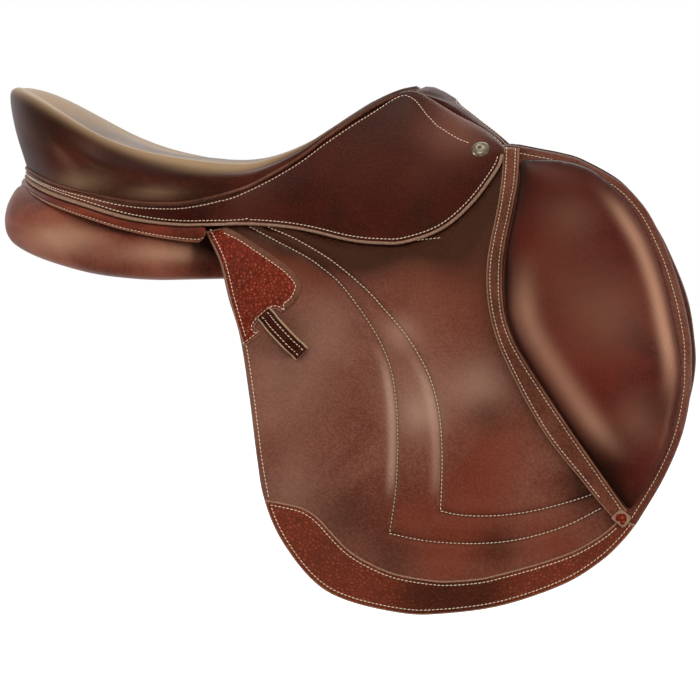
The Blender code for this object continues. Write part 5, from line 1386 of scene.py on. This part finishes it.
def make_pommel_facing():
    """The padded facing over the pommel, crowned most at its middle. Returns its sewing row."""
    half = [(on_curve(POMMEL_BACK, k / 8, mirrored=(k < 8)),
             on_curve(POMMEL_FRONT, k / 8, mirrored=(k < 8)))
            for k in range(8 * (len(POMMEL_BACK) - 1) + 1)]
    line = [(mirror(back), mirror(front)) for back, front in half[:0:-1]] + half
    places, row = [], []
    for k, (back, front) in enumerate(line):
        before, after = line[max(k - 1, 0)], line[min(k + 1, len(line) - 1)]
        along = (after[0] + after[1] - before[0] - before[1]).normalized()
        out = (front - back).cross(along).normalized()
        if out.z < 0:
            out = -out
        ahead = (front - back).normalized()
        crown = 8.0 - 5.0 * min(abs(back.y) / 27, 1)
        # Share of the way from back to front, millimetres taken off it, and height
        profile = ((0, 0, 0), (0.12, 0, 0.62 * crown), (0.3, 0, 0.9 * crown), (0.55, 0, 0.85 * crown),
                   (0.82, 0, 0.6 * crown), (0.96, 0, 0.2 * crown), (1, 0, -1.6), (1, 1.2, -4.6),
                   (1, 4.9, -7.0), (0.85, 1.0, -3.4), (0.5, 0, -1.2), (0, 0, -4.0))
        places += [(back.lerp(front, share) - ahead * less + out * height) * MM
                   for share, less, height in profile]
        row.append(((back.lerp(front, 0.86) + out * (0.53 * crown + THREAD_LIFT)) * MM, out))
    add_piece("pommel_leather", places, swept_faces(len(line), len(profile)), [SKIRT_LEATHER],
              "saddle", ["pommel_facing"])
    return row


def make_nail(hand, side):
    """The domed nail: a disc stepped up by insets, with a small dark dimple in its crown."""
    node_name = f"saddle_nail_{hand}"
    lo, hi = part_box(node_name)
    points = np.array([v.co[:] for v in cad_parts[node_name].data.vertices])
    out = Vector(np.linalg.svd(points - points.mean(0))[2][-1])
    out *= 1 if out.y * side > 0 else -1
    bpy.ops.object.select_all(action="DESELECT")
    bpy.ops.mesh.primitive_cylinder_add(vertices=40, radius=NAIL_RADIUS * MM, depth=NAIL_DISC * MM)
    nail = bpy.context.object
    nail.name = f"domed_nail_{hand}"
    for look in (NICKEL, NAIL_HOLE):
        nail.data.materials.append(look)
    bpy.ops.object.mode_set(mode="EDIT")
    bpy.ops.mesh.select_mode(type="FACE")
    bpy.ops.mesh.select_all(action="DESELECT")
    bpy.ops.object.mode_set(mode="OBJECT")
    for face in nail.data.polygons:
        face.select = face.normal.z > 0.9
    bpy.ops.object.mode_set(mode="EDIT")
    for shrink, lift in NAIL_STEPS:
        bpy.ops.mesh.inset(thickness=shrink * MM, depth=lift * MM)
    bpy.ops.object.mode_set(mode="OBJECT")
    for face in nail.data.polygons:
        face.material_index = 1 if face.select else 0
    turn = out.to_track_quat("Z", "Y").to_matrix().to_4x4()
    turn.translation = (lo + hi) / 2 - out * NAIL_SINK * MM + Vector(NAIL_SHIFT) * MM
    nail.data.transform(turn)
    smooth_shade(nail.data, 50)
    register(nail, "saddle", [node_name])


# Hidden CAD pieces keep their own form and take the looks of what they are made of
CAD_LOOKS = {"tree": BEECH, "head_plate": FORGED, "channel_lining": LINING, "seat_web_cross": WEB}
for hand, _ in HANDS:
    for look, names in ((FORGED, ("stirrup_bar", "stirrup_catch")), (LINING, ("point_pocket",)),
                        (WEB, ("seat_web", "girth_web_front", "girth_web_rear")),
                        (STRAP_LEATHER, ("billet_1", "billet_2", "billet_3"))):
        CAD_LOOKS.update({f"{name}_{hand}": look for name in names})
for name, look in CAD_LOOKS.items():
    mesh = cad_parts[name].data
    mesh.materials.clear()
    mesh.materials.append(look)

seat_skin("seat_leather", SEAT_LEATHER, ["seat_cover"])
seat_skin("seat_padding", FOAM, ["seat_foam"], first_column=17, inward=4.0, thick=6.0)
make_welt()
fixed_rows = [make_cantle_strip(), make_pommel_facing()]
for hand, side in HANDS:
    make_skirt_band(hand, side)
    make_skirt_lobe(hand, side)
    make_flap(hand, side)
    make_trims(hand, side)
    make_flap_stitching(hand, side, make_keeper(hand, side))
    make_pad(f"knee_roll_{hand}", PAD_OUTLINE, ON_FLAP, KNEE_PAD_RISE, side, KNEE_LEATHER,
             f"{hand}_flap", [f"flap_knee_pad_{hand}"], power=0.42,
             marks={"shade": pad_painted_shade, "wear_and_highlight": pad_painted_highlights, "warm": pad_warm})
    leather_sheet(f"under_flap_{hand}", loop_points(SWEAT_FLAP, 3.0), SWEAT_IN, SWEAT_OUT, side,
                  [LINING, DARK_EDGE], "saddle", [f"sweat_flap_{hand}"],
                  spacing=6.0, edge=1.0)
    for name, outline in (("knee_block", KNEE_BLOCK), ("thigh_block", THIGH_BLOCK)):
        make_pad(f"{name}_pad_{hand}", loop_points(outline, 3.0), BLOCK_LOW, BLOCK_RISE, side, LINING,
                 "saddle", [f"{name}_{hand}"], power=0.35, spacing=5.0)
    make_panel(hand, side)
    make_nail(hand, side)
    # The upper row stops at the nail, and the foot's row where the lobe's own takes over
    fixed_rows += [band_row(side, UPPER_ROW, last=first_past(226)),
                   band_row(side, FOOT_ROW, last=first_past(26), from_foot=True),
                   band_row(side, CORNER_ROW, first=first_past(246), last=len(BAND[0]) - 3)]
sew("saddle_stitching", fixed_rows, "saddle")

# Floor, light and camera, for the same view as the photograph's

bpy.ops.object.select_all(action="DESELECT")
bpy.ops.mesh.primitive_plane_add(size=14, location=(0.1, 0.0, FLOOR_HEIGHT))
floor = bpy.context.object
floor.name = "floor"
paper, tree, shader = new_material("pale paper floor")
shader.inputs["Base Color"].default_value = (0.92, 0.92, 0.92, 1)
shader.inputs["Roughness"].default_value = 0.9
seen = node(tree, "LightPath").outputs["Is Camera Ray"]
glow = node(tree, "Emission", {"Color": (1, 1, 1, 1), "Strength": 0.7})
both = node(tree, "AddShader", {0: shader.outputs[0], 1: glow.outputs[0]})
pick = node(tree, "MixShader", {0: seen, 1: shader.outputs[0], 2: both.outputs[0]})
tree.links.new(pick.outputs[0], [n for n in tree.nodes if n.type == "OUTPUT_MATERIAL"][0].inputs[0])
floor.data.materials.append(paper)

world = bpy.data.worlds.new("studio")
bpy.context.scene.world = world
world.use_nodes = True
tree = world.node_tree
tree.nodes.clear()
path = node(tree, "LightPath")
seen = node(tree, "Math", {0: path.outputs["Is Camera Ray"], 1: path.outputs["Is Transmission Ray"]},
            operation="MAXIMUM")
seen = node(tree, "Math", {0: seen.outputs[0], 1: path.outputs["Is Glossy Ray"]}, operation="MAXIMUM")
level = node(tree, "MapRange", {0: seen.outputs[0], 3: 0.35, 4: 1.0})
back = node(tree, "Background", {"Color": (1, 1, 1, 1), "Strength": level.outputs[0]})
node(tree, "OutputWorld", {"Surface": back.outputs[0]})


def aimed(name, data, place, way):
    """A lamp or camera at a place in metres, looking along a direction."""
    made = new_object(name, data)
    made.location = place
    made.rotation_mode = "QUATERNION"
    made.rotation_quaternion = way.to_track_quat("-Z", "Y")
    return made


for name, place, aim, size, power in LAMPS:
    lamp = bpy.data.lights.new(name, "AREA")
    lamp.shape = "RECTANGLE"
    lamp.size, lamp.size_y = size
    lamp.energy = power
    aimed(name, lamp, place, Vector(aim) - Vector(place))

azimuth, elevation = math.radians(4), math.radians(4)
back_way = Vector((math.sin(azimuth) * math.cos(elevation), -math.cos(azimuth) * math.cos(elevation),
                   math.sin(elevation)))
lens = bpy.data.cameras.new("camera")
lens.sensor_width = 36
lens.lens = lens.sensor_width * CAMERA_DISTANCE / (PHOTO_PIXELS * PIXEL_MM * MM)
lens.clip_end = 50
bpy.context.scene.camera = aimed("camera", lens, Vector(VIEW_CENTRE) + back_way * CAMERA_DISTANCE,
                                 -back_way)
bpy.context.scene.view_settings.view_transform = "Standard"
